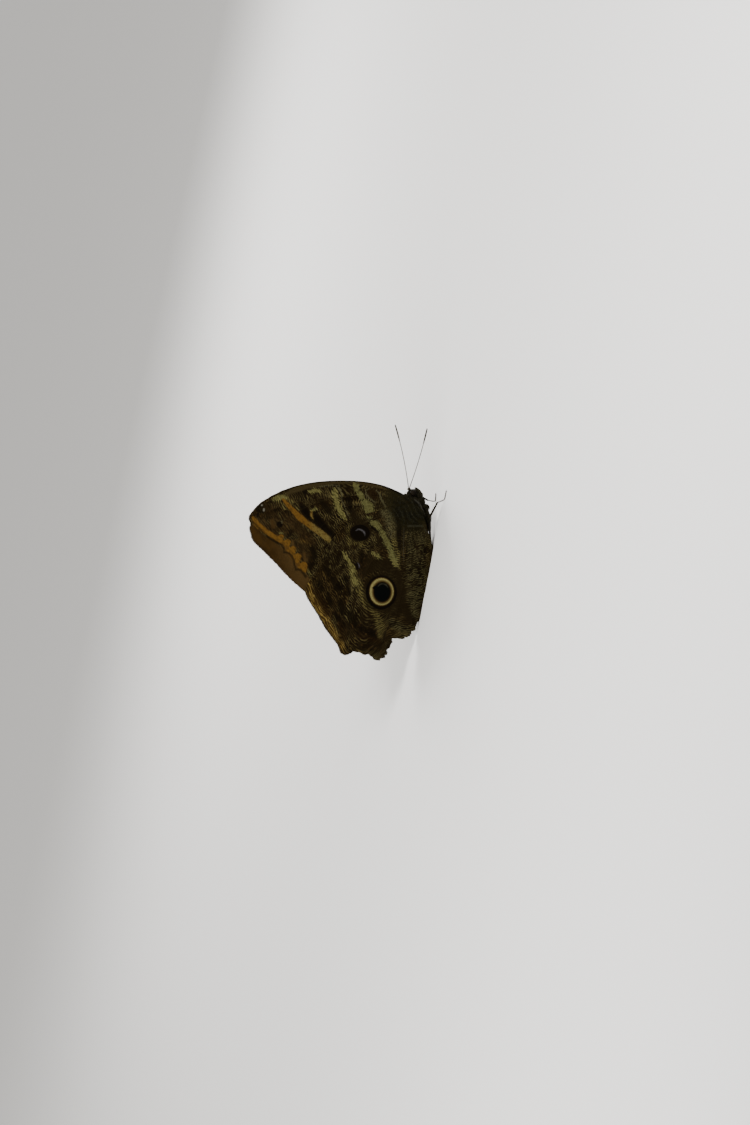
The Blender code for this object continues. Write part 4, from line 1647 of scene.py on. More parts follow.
class Scatter:
    """A node tree that sets one small shape on many points and joins all into one plain mesh."""

    def __init__(self) -> None:
        """Makes the tree."""
        self.group = bpy.data.node_groups.new("scatter", "GeometryNodeTree")
        inputs = (("Geometry", "Geometry"), ("Shape", "Object"), ("Paint", "Material"))
        self.keys = [self.socket(name, kind, "INPUT") for name, kind in inputs]
        self.socket("Geometry", "Geometry", "OUTPUT")
        tree = Tree(self.group)
        source, vector = tree.node("NodeGroupInput").outputs, {"data_type": "FLOAT_VECTOR"}
        aim, face, size = (
            tree.node("GeometryNodeInputNamedAttribute", vector, Name=name).outputs["Attribute"]
            for name in ("aim", "face", "size")
        )
        axes = {"primary_axis": "Z", "secondary_axis": "X"}
        turn = tree.node("FunctionNodeAxesToRotation", axes, i0=aim, i1=face).outputs[0]
        shape = tree.node("GeometryNodeObjectInfo", None, Object=source["Shape"], As_Instance=True)
        sockets = {"Points": source["Geometry"], "Instance": shape.outputs["Geometry"]}
        spread = tree.node("GeometryNodeInstanceOnPoints", None, Rotation=turn, Scale=size, **sockets)
        joined = tree.node("GeometryNodeRealizeInstances", None, Geometry=spread.outputs[0])
        paint = source["Paint"]
        painted = tree.node("GeometryNodeSetMaterial", None, Geometry=joined.outputs[0], Material=paint)
        tree.node("NodeGroupOutput", None, Geometry=painted.outputs[0])

    def socket(self, name: str, kind: str, way: str) -> str:
        """Adds a named socket to the tree and gives its identifier."""
        socket_type = f"NodeSocket{kind}"
        return self.group.interface.new_socket(name, in_out=way, socket_type=socket_type).identifier

    def grow(self, name: str, roots: Roots, tuft: Tuft, paint: Material, slot: str) -> None:
        """Grows one piece of coat and settles it.

        Args:
            name: The piece's name.
            roots: Where its tufts stand, in millimetres.
            tuft: Their shape.
            paint: Their material.
            slot: The piece's material slot.
        """
        mesh = plain_mesh(name, to_row(roots.feet))
        patches = np.column_stack([roots.places, np.zeros(len(roots.feet))])
        vectors = {"aim": roots.aims, "face": roots.faces, "size": roots.sizes * MM, "patch": patches}
        for key, values in (vectors | {"root": roots.feet}).items():
            add_vectors(mesh, key, values)
        add_numbers(mesh, "tone", roots.tones)
        source, shape = link(bpy.data.objects.new(name, mesh)), tuft.make()
        modifier = source.modifiers.new("scatter", "NODES")
        modifier.node_group = self.group
        for key, value in zip(self.keys[1:], (shape, paint)):
            modifier[key] = value
        joined = evaluated_mesh(source)
        bpy.data.objects.remove(shape)
        joined.name = name
        self.map_tufts(joined)
        for gone in vectors:
            if gone in joined.attributes:
                joined.attributes.remove(joined.attributes[gone])
        settle(link(bpy.data.objects.new(name, joined)), slot)

    @staticmethod
    def map_tufts(mesh: bpy.types.Mesh) -> None:
        """Lays each tuft on the bake map as a small patch at its root's place.

        Args:
            mesh: The joined tufts.
        """
        count, attributes = len(mesh.vertices), mesh.attributes
        patch = read_numbers(attributes["patch"].data, "vector", count)[:, :2]
        along = read_numbers(attributes["along"].data, "value", count, 1)[:, 0]
        side = np.sin(read_numbers(mesh.vertices, "co", count) @ (31000.0, 47000.0, 23000.0))
        add_bake_map(mesh, patch + columns(side * 0.5, along - 0.5) * BAKE_PATCH)


@dataclass(frozen=True)
class BodyFinish:
    """Colours of the body's coat and horn, in linear light."""

    brown: Colour = (0.0075, 0.006, 0.0026)
    olive: Colour = (0.0145, 0.0128, 0.0056)
    ash: Colour = (0.04, 0.036, 0.024)
    belly: Colour = (0.05, 0.037, 0.02)
    eye_tints: Tints = ((0.003, 0.0021, 0.0013), (0.0075, 0.0052, 0.0028))
    leg_shell: Tints = ((0.0045, 0.0034, 0.0022), (0.03, 0.0135, 0.007))
    leg_spines: Tints = ((0.01, 0.006, 0.003), (0.05, 0.03, 0.016))
    leg_scales: Tints = ((0.0032, 0.0028, 0.0012), (0.0145, 0.0128, 0.0056))
    foreleg_shell: Tints = ((0.007, 0.006, 0.004), (0.022, 0.019, 0.012))
    foreleg_hair: Tints = ((0.011, 0.0098, 0.0062), (0.063, 0.059, 0.045))
    feeler_shell: Tints = ((0.022, 0.013, 0.009), (0.014, 0.008, 0.005))
    feeler_flecks: Tints = ((0.03, 0.027, 0.02), (0.12, 0.11, 0.09))
    tongue_shell: Tints = ((0.014, 0.008, 0.004), (0.045, 0.022, 0.01))
    soft_gloss: float = 0.05
    horn_gloss: float = 0.04
    eye_gloss: float = 0.024

    def tint(self, made: Shader, place: Socket) -> Socket:
        """The coat's colour, for skin and tufts alike.

        Args:
            made: The material's nodes.
            place: The place in row millimetres.

        Returns:
            The colour.
        """
        x, _, z = made.parts(place)
        streak = made.noise(made.stretch(place, (0.35, 1.6, 1.6)), 1.0, 3.0, 0.6)
        fleck = made.noise(place, 2.3, 2.0, 0.6)
        colour = made.mix(made.step(streak, 0.4, 0.62), self.brown, self.olive)
        colour = made.mix(made.step(streak, 0.6, 0.72, 0.5), colour, self.ash)
        low = made.step(z - x * 0.12, 4.2, 2.4)
        rear = made.step(x, ROW_SHIFT_X - 10.5, ROW_SHIFT_X - 13.5)
        colour = made.mix(low * rear * 0.8, colour, self.belly)
        front = made.step(x, ROW_SHIFT_X - 1.2, ROW_SHIFT_X + 0.4)
        return made.mix(front * made.step(fleck, 0.52, 0.66, 0.6), colour, self.ash)

    def skin(self) -> Material:
        """Makes the skin under the coat.

        Returns:
            The material.
        """
        made = Shader("body_skin")
        colour = made.mix(0.35, self.tint(made, made.place()), self.brown)
        normal = made.bump(made.noise(made.place((0.5, 1.6, 1.6)), 2.2, 3.0), 0.12)
        settings = {"Roughness": 0.75, "Specular IOR Level": self.soft_gloss}
        return made.finish(settings, Base_Color=colour, Normal=normal)

    def coat(self, name: str) -> Material:
        """Makes tufts that carry the skin's colours, darker at the root.

        Args:
            name: The material's name.

        Returns:
            The material.
        """
        made, shift = Shader(name), (ROW_SHIFT_X, 0.0, 0.0)
        root = made.get(0, "ShaderNodeVectorMath", {"operation": "ADD"}, i0=made.vector("root"), i1=shift)
        shade = made.mix(made.number("along"), (0.55,) * 3, (1.5,) * 3)
        colour = made.mix(1.0, self.tint(made, root), shade, "MULTIPLY")
        colour = made.mix(made.step(made.number("tone"), 0.8, 1.0, 0.5), colour, self.ash)
        return made.finish({"Roughness": 0.7, "Specular IOR Level": self.soft_gloss}, Base_Color=colour)

    def plain(self, name: str, tints: Tints, rough: float = 0.5) -> Material:
        """Makes tufts between two colours.

        Args:
            name: The material's name.
            tints: The colours at the root and at the tip.
            rough: How rough they are.

        Returns:
            The material.
        """
        made = Shader(name)
        tone = made.number("tone") * 0.9 + 0.1
        share = made.math("MULTIPLY", made.number("along") + 0.35, tone, clamp=True)
        settings = {"Roughness": rough, "Specular IOR Level": self.soft_gloss}
        return made.finish(settings, Base_Color=made.mix(share, *tints))

    def shell(self, name: str, tints: Tints, grain_mm: float) -> Material:
        """Makes horny skin with a fine grain.

        Args:
            name: The material's name.
            tints: The colours where the mesh's tone is 0 and where it is 1.
            grain_mm: Size of the grain.

        Returns:
            The material.
        """
        made = Shader(name)
        grain = made.noise(made.place(), 1.0 / grain_mm, 3.0)
        colour = made.mix(made.number("tone"), *tints)
        colour = made.mix(made.step(grain, 0.35, 0.7, 0.5), colour, scaled(tints[0], 0.5))
        settings = {"Specular IOR Level": self.horn_gloss, "Roughness": 0.45}
        return made.finish(settings, Base_Color=colour, Normal=made.bump(grain, 0.02, 0.6))

    def eye(self) -> Material:
        """Makes a glossy eye of tiny facets, dark brown with darker clouds.

        Returns:
            The material.
        """
        made = Shader("eye_facets")
        cloud = made.noise(made.place((0.7, 0.7, 1.4)), 0.8)
        colour = made.mix(made.step(cloud, 0.4, 0.65), *self.eye_tints)
        normal = made.bump(made.cells(made.place(), 9.0), 0.012, 0.5)
        settings = {"Roughness": 0.3, "Specular IOR Level": self.eye_gloss}
        return made.finish(settings, Base_Color=colour, Normal=normal)


@dataclass(frozen=True)
class Coat:
    """A coat of tufts: how many on each square millimetre, how far they stand off the skin, as a slope,
    and their width over their length.
    """

    per_mm2: float
    tilt: float
    width: float


@dataclass
class Trunk:
    """Head, palps, thorax and abdomen as one skin, the coat that stands on it, and the eyes."""

    finish: BodyFinish
    scatter: Scatter
    coat_depth: float = 0.42
    belly_depth: float = 0.18
    palp_depth: float = 0.14
    voxel: float = 0.17
    around: int = 64
    stray: float = 0.16
    root_depth: float = 0.03
    head_coat: Coat = Coat(26.0, 0.45, 0.9)
    palp_coat: Coat = Coat(40.0, 0.4, 1.0)
    thorax_coat: Coat = Coat(16.0, 0.28, 0.75)
    abdomen_coat: Coat = Coat(19.5, 0.12, 0.8)
    segment: float = 2.9
    neck: tuple[Numbers, ...] = ((0.6, 12.6, 1.2, 1.1), (-0.4, 12.6, 1.5, 1.4))
    head: Oval = ((1.0, 0.0, 12.7), (1.8, 1.9, 2.5))
    eye: Oval = ((1.15, 2.15, 13.1), (1.35, 1.05, 1.55))
    # Face, upper and lower throat, collar
    swells: tuple[Oval, ...] = (
        ((2.2, 0.0, 11.6), (0.9, 1.1, 1.5)),
        ((0.3, 0.0, 10.3), (1.3, 1.35, 0.9)),
        ((-0.9, 0.0, 8.9), (1.25, 1.3, 1.55)),
        ((-0.9, 0.0, 14.3), (1.3, 1.9, 1.9)),
    )
    feeler_seat: Oval = ((2.5, 0.85, 14.7), (0.45, 0.42, 0.42))
    hips: tuple[Point3, ...] = ((-1.9, 1.3, 8.6), (-4.2, 1.5, 6.7), (-8.8, 1.4, 4.9))
    hip_radii: Point3 = (1.5, 0.85, 1.5)
    palp_joints: tuple[Point3, ...] = (
        (-0.1, 1.15, 9.75), (0.85, 1.2, 8.9), (2.55, 1.2, 10.3), (3.75, 1.1, 12.15)
    )
    palp_radii: Numbers = (0.42, 0.66, 0.62, 0.47)

    def __post_init__(self) -> None:
        """Works out the palps' line and the skin."""
        self.rng = np.random.default_rng(11)
        self.palp_route, self.palp_share = smooth_line(self.palp_joints, 0.15)
        self.points, self.quads, self.normals = self.remeshed(self.rough_shape())

    def barrel(self) -> Shape:
        """The trunk without head, palps and hips, with the rings of the abdomen.

        Returns:
            Its points and faces.
        """
        parts = ((THORAX_STATIONS, self.coat_depth), (ABDOMEN_STATIONS, self.belly_depth))
        inner = [[(x, z, h - depth, w - depth) for x, z, h, w in part] for part, depth in parts]
        stations = np.concatenate([self.neck, *inner])[::-1]
        x = np.linspace(stations[0, 0], stations[-1, 0], 260)
        z, high, wide = (np.interp(x, stations[:, 0], stations[:, k]) for k in (1, 2, 3))
        behind = blend_step(x, -12.0, -14.0) * blend_step(x, -36.4, -34.0)
        ring = np.abs(((-x - 13.2) / self.segment) % 1.0 - 0.5) * 2.0
        shrink = 1.0 - behind * 0.075 * blend_step(ring, 0.72, 1.0)
        turn = circle(self.around)
        across, up = (wide * shrink)[:, None] * np.cos(turn), (high * shrink)[:, None] * np.sin(turn)
        points, faces = sweep(columns(x, 0 * x, z), wide, self.around)
        rings = columns(x[:, None] + 0 * turn, across, z[:, None] + up)
        points[: rings.size // 3] = rings.reshape(-1, 3)
        return points, faces

    def rough_shape(self) -> Mould:
        """Gathers the overlapping closed shapes that the skin is made of.

        Returns:
            The shapes.
        """
        mould = Mould()
        for points, faces in (self.barrel(), *(ball(*swell) for swell in (self.head, *self.swells))):
            mould.add(points, faces)
        for side in Side:
            radii = np.interp(self.palp_share, (0, 0.33, 0.67, 1), self.palp_radii) - self.palp_depth
            mould.add(*sweep(side.mirror(self.palp_route), radii, 16))
            mould.add(*ball(side.mirror(self.feeler_seat[0]), self.feeler_seat[1]))
            for hip in self.hips:
                mould.add(*ball(side.mirror(hip), self.hip_radii))
        return mould

    def remeshed(self, mould: Mould) -> tuple[Array, Array, Array]:
        """Melts overlapping shapes into one skin.

        Args:
            mould: The shapes.

        Returns:
            The skin's points, faces and outward directions.
        """
        obj = mould.raw("rough")
        melt = obj.modifiers.new("melt", "REMESH")
        melt.mode, melt.voxel_size = "VOXEL", self.voxel
        soften = obj.modifiers.new("soften", "SMOOTH")
        soften.factor, soften.iterations = 0.5, 5
        made = evaluated_mesh(obj)
        count = len(made.vertices)
        quads = np.array([list(polygon.vertices) for polygon in made.polygons])
        normals = read_numbers(made.vertex_normals, "vector", count)
        return read_numbers(made.vertices, "co", count), quads, normals

    def palp_place(self, points: Array) -> tuple[Array, Array, Array]:
        """Measures places by the nearer palp's middle line.

        Args:
            points: The places.

        Returns:
            Distance to the line, the share along it, and its direction.
        """
        gaps = np.linalg.norm(folded(points)[:, None, :] - self.palp_route[None], axis=2)
        index = gaps.argmin(1)
        return gaps.min(1), self.palp_share[index], unit(np.gradient(self.palp_route, axis=0))[index]

    def bake_places(self, points: Array, centres: Array | None = None) -> Array:
        """Places on an unwrap of the skin: a trunk strip, a round of the head, and the palps.

        Args:
            points: Places on the skin.
            centres: Middles of their faces, which choose the island and the side of its seam.

        Returns:
            Two numbers for each place.
        """
        centres = points if centres is None else centres
        far, _, _ = self.palp_place(centres)
        on_palp = (far < 0.8) & (centres[:, 2] < 13.3) & (centres[:, 0] > 0.4)
        on_head = (centres[:, 0] > -0.7) & ~on_palp
        # The strip unrolls the trunk from front to back, with its seam along the belly
        stations = np.array(THORAX_STATIONS + ABDOMEN_STATIONS)
        height = np.interp(-points[:, 0], -stations[:, 0], stations[:, 1])
        turn, own = (np.arctan2(some[:, 1], some[:, 2] - height) for some in (centres, points))
        own = turn + (own - turn + math.pi) % FULL_TURN - math.pi
        level = np.clip(0.3 + own / FULL_TURN * 0.52, 0.01, 0.59)
        strip = columns(0.02 + (-points[:, 0] + 1.0) / 38.0 * 0.96, level)
        # The round shows the head from the front
        out = unit(points - self.head[0])
        polar = np.arccos(np.clip(out[:, 0], -1, 1)) / math.pi * 0.19
        around = np.arctan2(out[:, 1], out[:, 2])
        disc = columns(0.2 + polar * np.sin(around), 0.79 + polar * np.cos(around))
        # Each palp has a place for its front and one for its back
        along = 0.5 + self.palp_place(points)[1] * 0.2 + 0.23 * (centres[:, 1] > 0)
        front_half = 0.12 * (points[:, 0] - 0.6 * (points[:, 2] - 9.0) > 1.6)
        cheek = columns(along, 0.72 + (np.abs(points[:, 1]) - 1.15) * 0.05 + front_half)
        return np.where(on_palp[:, None], cheek, np.where(on_head[:, None], disc, strip))

    def build_skin(self) -> None:
        """Makes the skin's mesh, with its bake map."""
        obj = make_object("body_skin", self.points, self.quads, (self.finish.skin(),), 180.0)
        centres = np.repeat(self.points[self.quads].mean(1), 4, axis=0)
        uv = self.bake_places(self.points[self.quads.ravel()], centres).astype(np.float32)
        obj.data.uv_layers.new(name=BAKE_MAP).uv.foreach_set("vector", uv.ravel())
        settle(obj, "body_fur", "head", "thorax", "abdomen", "palp_left", "palp_right")

    def strew(self, wanted: Callable[[Array], Array], coat: Coat) -> tuple[Array, Array]:
        """Chooses random places on the skin.

        Args:
            wanted: Gives a share from 0 to 1 for each face's middle.
            coat: The coat, which is as thick as it says where the share is 1.

        Returns:
            The places and the skin's outward directions there.
        """
        a, b, c, d = (self.points[self.quads[:, k]] for k in range(4))
        areas = np.linalg.norm(np.cross(c - a, d - b), axis=1) / 2
        weights = areas * wanted((a + b + c + d) / 4)
        count = int(weights.sum() * coat.per_mm2)
        chosen = self.rng.choice(len(areas), count, p=weights / weights.sum())
        s, t = self.rng.random((2, count, 1))
        near, far = a[chosen] * (1 - s) + b[chosen] * s, d[chosen] * (1 - s) + c[chosen] * s
        feet = near * (1 - t) + far * t
        return feet, unit(self.normals[self.quads[chosen]].mean(1))

    def grow(
        self, name: str, tuft: Tuft, coat: Coat, stand: tuple[Array, Array], lie: Array, length: Array
    ) -> None:
        """Grows one piece of coat, whose tufts lie along the skin.

        Args:
            name: The piece's name.
            tuft: The shape of its tufts.
            coat: How they stand.
            stand: Where they stand, and the skin's outward directions there.
            lie: The way that the coat lies, before it is laid on the skin.
            length: Their lengths in millimetres.
        """
        feet, normals = stand
        count = len(feet)
        flat = lie + self.rng.normal(0, self.stray, (count, 3))
        flat = unit(flat - (flat * normals).sum(1)[:, None] * normals)
        aims = unit(flat + normals * (coat.tilt * self.rng.uniform(0.5, 1.5, count))[:, None])
        length = length * self.rng.uniform(0.75, 1.2, count)
        sizes, tones = columns(length, length * coat.width, length), self.rng.random(count)
        sunk = feet - normals * self.root_depth
        roots = Roots(sunk, aims, normals, sizes, tones, self.bake_places(feet))
        self.scatter.grow(name, roots, tuft, self.finish.coat(name), "body_fur")

    def eye_share(self, points: Array) -> Array:
        """Distance from the nearer eye's middle, as a share of its size."""
        return np.linalg.norm((folded(points) - self.eye[0]) / self.eye[1], axis=1)

    def on_head(self, points: Array) -> Array:
        """Which places are on the head, outside the eyes."""
        off_palps = (points[:, 0] > -0.9) * (self.palp_place(points)[0] > 0.75)
        return off_palps * (self.eye_share(points) > 1.02)

    def on_palp(self, points: Array) -> Array:
        """Which places are on a palp."""
        return (self.palp_place(points)[0] < 0.85) * (points[:, 0] > -0.2) * (points[:, 2] < 13.6)

    @staticmethod
    def between(side: Side, rear: float, front: float) -> Callable[[Array], Array]:
        """A test for places on one side between two places along the body."""
        return lambda p: (p[:, 0] < front) * (p[:, 0] > rear) * (p[:, 1] * side.value > 0)

    def build_head_coat(self) -> None:
        """Grows the coat of the head and palps."""
        feet, normals = self.strew(self.on_head, self.head_coat)
        forward = blend_step(feet[:, 0], 1.6, 2.6)[:, None]
        lie = (1 - forward) * np.array([(-0.6, 0.0, 0.7)]) + forward * np.array([(0.3, 0.0, 1.0)])
        crest = blend_step(feet[:, 0], 1.4, 0.2) * blend_step(feet[:, 2], 13.2, 14.6)
        length = 1.05 - 0.35 * forward[:, 0] - 0.4 * (self.eye_share(feet) < 1.35) + 0.75 * crest
        self.grow("head_fur", Tuft.HAIR, self.head_coat, (feet, normals), lie, length)
        feet, normals = self.strew(self.on_palp, self.palp_coat)
        _, share, lie = self.palp_place(feet)
        length = 0.5 - 0.24 * blend_step(share, 0.75, 1.0)
        self.grow("palp_fur", Tuft.HAIR, self.palp_coat, (feet, normals), lie, length)

    def build_side_coat(self, side: Side) -> None:
        """Grows the coat of one side of the thorax and abdomen.

        Args:
            side: Which side.
        """
        feet, normals = self.strew(self.between(side, -13.2, -0.7), self.thorax_coat)
        x, z = feet[:, 0], feet[:, 2]
        collar = blend_step(x, -3.0, -1.6) * blend_step(z, 13.0, 15.0)
        drop = -0.45 * blend_step(z, 14.5, 10.0)
        lie = columns(-1.0 + 1.15 * collar, 0 * drop, drop + 1.2 * collar)
        length = 1.45 + 0.5 * blend_step(z, 12.0, 15.5) - 0.4 * blend_step(x, -2.5, -0.8) * (1 - collar)
        length += 0.4 * blend_step(z, 7.5, 5.0)
        self.grow(f"thorax_fur_{side.word}", Tuft.HAIR, self.thorax_coat, (feet, normals), lie, length)
        stand = self.strew(self.between(side, -math.inf, -12.4), self.abdomen_coat)
        lie, length = np.array((-1.0, 0.0, 0.0)), np.full(len(stand[0]), 0.62)
        self.grow(f"abdomen_scales_{side.word}", Tuft.SCALE, self.abdomen_coat, stand, lie, length)

    def build_eyes(self) -> None:
        """Makes both eyes."""
        paint = self.finish.eye()
        for side in Side:
            mould = Mould()
            mould.add(*ball(side.mirror(self.eye[0]), self.eye[1], 40, 56))
            settle(mould.make(f"eye_{side.word}_ball", paint), "eye", f"eye_{side.word}")

    def build(self) -> None:
        """Makes the skin, the coat and the eyes."""
        self.build_skin()
        self.build_head_coat()
        for side in Side:
            self.build_side_coat(side)
        self.build_eyes()


# Joints of the left hind leg and of the two middle legs, from hip to claws. The right hind leg mirrors it
HIND_LEG = ((-8.7, 1.6, 3.7), (-15.2, 3.0, 2.7), (-21.0, 2.8, 0.9), (-23.2, 2.7, 0.21), (-27.6, 2.3, 0.21))
RIGHT_LEG = ((-4.0, -1.9, 6.2), (-8.3, -7.0, 4.9), (-1.2, -9.2, 3.0), (0.9, -9.8, 0.21), (4.6, -10.3, 0.21))
LEFT_LEG = ((-4.0, 1.9, 6.2), (1.6, 6.6, 10.6), (-0.7, 8.4, 3.9), (-0.3, 9.3, 0.21), (2.9, 11.2, 0.21))
LEGS = {
    "midleg_right": RIGHT_LEG,
    "midleg_left": LEFT_LEG,
    "hindleg_right": Side.RIGHT.mirror(HIND_LEG),
    "hindleg_left": HIND_LEG,
}


@dataclass(frozen=True)
class Bristles:
    """Spines or scales on a limb: how many on each millimetre, length, and how far they lean along it."""

    per_mm: float
    length: float
    lean: float


@dataclass
class Limbs:
    """Legs, feelers and tongue."""

    finish: BodyFinish
    scatter: Scatter
    thigh_radius: float = 0.62
    knee_radius: float = 0.42
    shin_radii: Point2 = (0.47, 0.31)
    spur_radii: Numbers = (0.1, 0.085, 0.06, 0.035, 0.01)
    foot_height: float = 0.25
    foot_joints: Numbers = (0.0, 0.42, 0.6, 0.74, 0.85, 1.0)
    claw_radii: Numbers = (0.055, 0.052, 0.046, 0.038, 0.028, 0.018, 0.006)
    foreleg_joints: tuple[Point3, ...] = (
        (-1.55, 4.15, 12.6), (-2.9, 4.35, 10.3), (-5.2, 4.1, 8.3), (-7.0, 3.75, 7.1)
    )
    foreleg_radii: Numbers = (0.34, 0.42, 0.38, 0.27)
    brush_depth: float = 0.16
    feeler_base: Point3 = (2.95, 0.85, 15.0)
    # On the left and on the right: the feeler's tip, and how far its middle bows aside and up
    feeler_ends: tuple[Oval, ...] = (
        ((30.2, 15.0, 23.3), (0.0, 1.1, -0.9)),
        ((30.1, -15.0, 14.6), (0.0, -1.1, -0.25)),
    )
    feeler_tip: Numbers = (0.98, 0.93, 0.84, 0.7, 0.5, 0.3)
    tongue_centre: Point2 = (1.25, 8.85)
    tongue_reach: float = 0.78
    tongue_turns: float = 0.66
    tongue_rings: int = 44
    thigh_scales: Bristles = Bristles(42.0, 0.42, 2.6)
    shin_scales: Bristles = Bristles(32.0, 0.32, 3.0)
    shin_spines: Bristles = Bristles(5.0, 0.45, 1.2)
    foot_spines: Bristles = Bristles(7.0, 0.22, 1.6)
    brush: Bristles = Bristles(54.0, 0.75, 3.4)
    flecks: Bristles = Bristles(8.0, 0.2, 4.0)
    root_share: float = 0.95
    floor_gap: float = 0.02

    def __post_init__(self) -> None:
        """Starts the random numbers."""
        self.rng = np.random.default_rng(23)

    def spikes(self, route: Array, radius: float | Array, kind: Bristles, strip: int = 0) -> Roots:
        """Roots of spines or scales round a route, leaning along it.

        Args:
            route: The limb's middle line.
            radius: The limb's radius, all along or at each point of the line.
            kind: What grows there.
            strip: Which strip of the bake map they lie on, counted from its foot.

        Returns:
            Their roots.
        """
        places = travelled(route)
        count = max(3, int(places[-1] * kind.per_mm))
        wanted = self.rng.uniform(0, places[-1], count)
        feet, tangent = (
            columns(*(np.interp(wanted, places, line) for line in lines))
            for lines in (route.T, [np.gradient(line) for line in route.T])
        )
        tangent = unit(tangent)
        out = self.rng.normal(0, 1, (count, 3))
        out = unit(out - (out * tangent).sum(1)[:, None] * tangent)
        radius = np.interp(wanted, places, np.broadcast_to(radius, len(route)))
        feet = feet + out * radius[:, None] * self.root_share
        aims = unit(out + tangent * kind.lean)
        keep = (feet + aims * kind.length)[:, 2] > self.floor_gap
        sizes = np.full((count, 3), kind.length) * self.rng.uniform(0.7, 1.1, (count, 1))
        tones = self.rng.random(count)
        around = np.arctan2(out[:, 2], out[:, 0] + out[:, 1]) / FULL_TURN + 0.5
        spots = columns(0.02 + 0.96 * wanted / places[-1], 0.01 + 0.14 * (strip + 0.95 * around))
        return Roots(feet[keep], aims[keep], out[keep], sizes[keep], tones[keep], spots[keep])

    def shape(self, mould: Mould, name: str, part: str, slot: str, tints: Tints, grain_mm: float) -> None:
        """Makes a limb's horny shape in place of its solid, between two colours."""
        settle(mould.make(f"{name}_{part}", self.finish.shell(name, tints, grain_mm)), slot, name)

    def dress(self, name: str, roots: Roots, tuft: Tuft, slot: str, tints: Tints) -> None:
        """Grows a limb's small tufts, between two colours."""
        self.scatter.grow(name, roots, tuft, self.finish.plain(name, tints), slot)

    def add_foot(self, mould: Mould, joints: Array) -> list[Roots]:
        """Adds the foot's five short joints and its claws.

        Args:
            mould: Where they are added.
            joints: The leg's joints.

        Returns:
            Roots of the foot's spines.
        """
        spines = []
        line, share = smooth_line(joints[2:] + [(0, 0, 0), (0, 0, 0.02), (0, 0, 0)], 0.05)
        line[:, 2] = np.maximum(line[:, 2], self.foot_height)
        for strip, (start, end) in enumerate(zip(self.foot_joints, self.foot_joints[1:])):
            part = line[(share >= start) & (share <= end)]
            radii = 0.2 + 0.045 * np.linspace(0, 1, len(part)) ** 2
            radii[0], radii[-1] = 0.15, 0.2
            mould.add(*sweep(part, radii, 10), tone=0.8)
            spines.append(self.spikes(part, 0.2, self.foot_spines, strip))
        ahead = unit((joints[4] - joints[3])[None])[0]
        across, reach = np.cross(ahead, (0, 0, 1)), np.linspace(0, 1, 7)[:, None]
        for turn in (-1.0, 1.0):
            hook = line[-1] + ahead * 0.5 * reach + across * turn * 0.22 * reach
            hook[:, 2] += 0.13 * np.sin(reach[:, 0] * math.pi) - 0.13 * reach[:, 0] ** 2
            mould.add(*sweep(hook, self.claw_radii, 6), tone=0.0)
        return spines

    def build_leg(self, name: str, joints: Array) -> None:
        """Makes one walking leg: thigh, shin, foot, claws, spurs and scales.

        Args:
            name: Its solid's name.
            joints: Its joints, from hip to claws.
        """
        mould, slot, steps = Mould(), "leg_horn", np.linspace(0, 1, 14)[:, None]
        thigh, shin = (start + (end - start) * steps for start, end in zip(joints[:2], joints[1:3]))
        swell = self.thigh_radius * (0.62 + 0.3 * np.sin(math.pi * np.linspace(0.1, 1, 14)))
        mould.add(*sweep(thigh, swell, 14), tone=0.1)
        scales = [self.spikes(thigh, swell, self.thigh_scales)]
        mould.add(*ball(joints[1], (self.knee_radius,) * 3, 10, 12), tone=0.1)
        taper = np.linspace(*self.shin_radii, 14)
        mould.add(*sweep(shin, taper, 12), tone=0.12)
        spines = [self.spikes(shin, taper, self.shin_spines, 6)]
        scales.append(self.spikes(shin, taper, self.shin_scales, 1))
        for turn in (-1.0, 1.0):
            spur = unit((joints[3] - joints[2])[None])[0] + (0.25, 0.45 * turn, 0.1)
            route = joints[2] + (0.0, 0.12 * turn, 0.0) + spur * np.linspace(0, 0.85, 5)[:, None]
            mould.add(*sweep(route, self.spur_radii, 6), tone=0.7)
        spines += self.add_foot(mould, joints)
        self.shape(mould, name, "shell", slot, self.finish.leg_shell, 0.2)
        self.dress(f"{name}_spines", Roots.gather(spines), Tuft.SPINE, slot, self.finish.leg_spines)
        self.dress(f"{name}_scales", Roots.gather(scales), Tuft.SCALE, slot, self.finish.leg_scales)

    def build_foreleg(self, side: Side) -> None:
        """Makes one short front leg, folded against the breast, with its brush of hair.

        Args:
            side: Which leg.
        """
        name, slot, mould = f"foreleg_{side.word}", "leg_horn", Mould()
        route, share = smooth_line(side.mirror(self.foreleg_joints), 0.12)
        radii = np.interp(share, (0, 0.33, 0.67, 1), self.foreleg_radii) - self.brush_depth
        mould.add(*sweep(route, radii, 12), tone=0.3)
        self.shape(mould, name, "shell", slot, self.finish.foreleg_shell, 0.2)
        hair = self.spikes(route, radii, self.brush)
        self.dress(f"{name}_brush", hair, Tuft.HAIR, slot, self.finish.foreleg_hair)

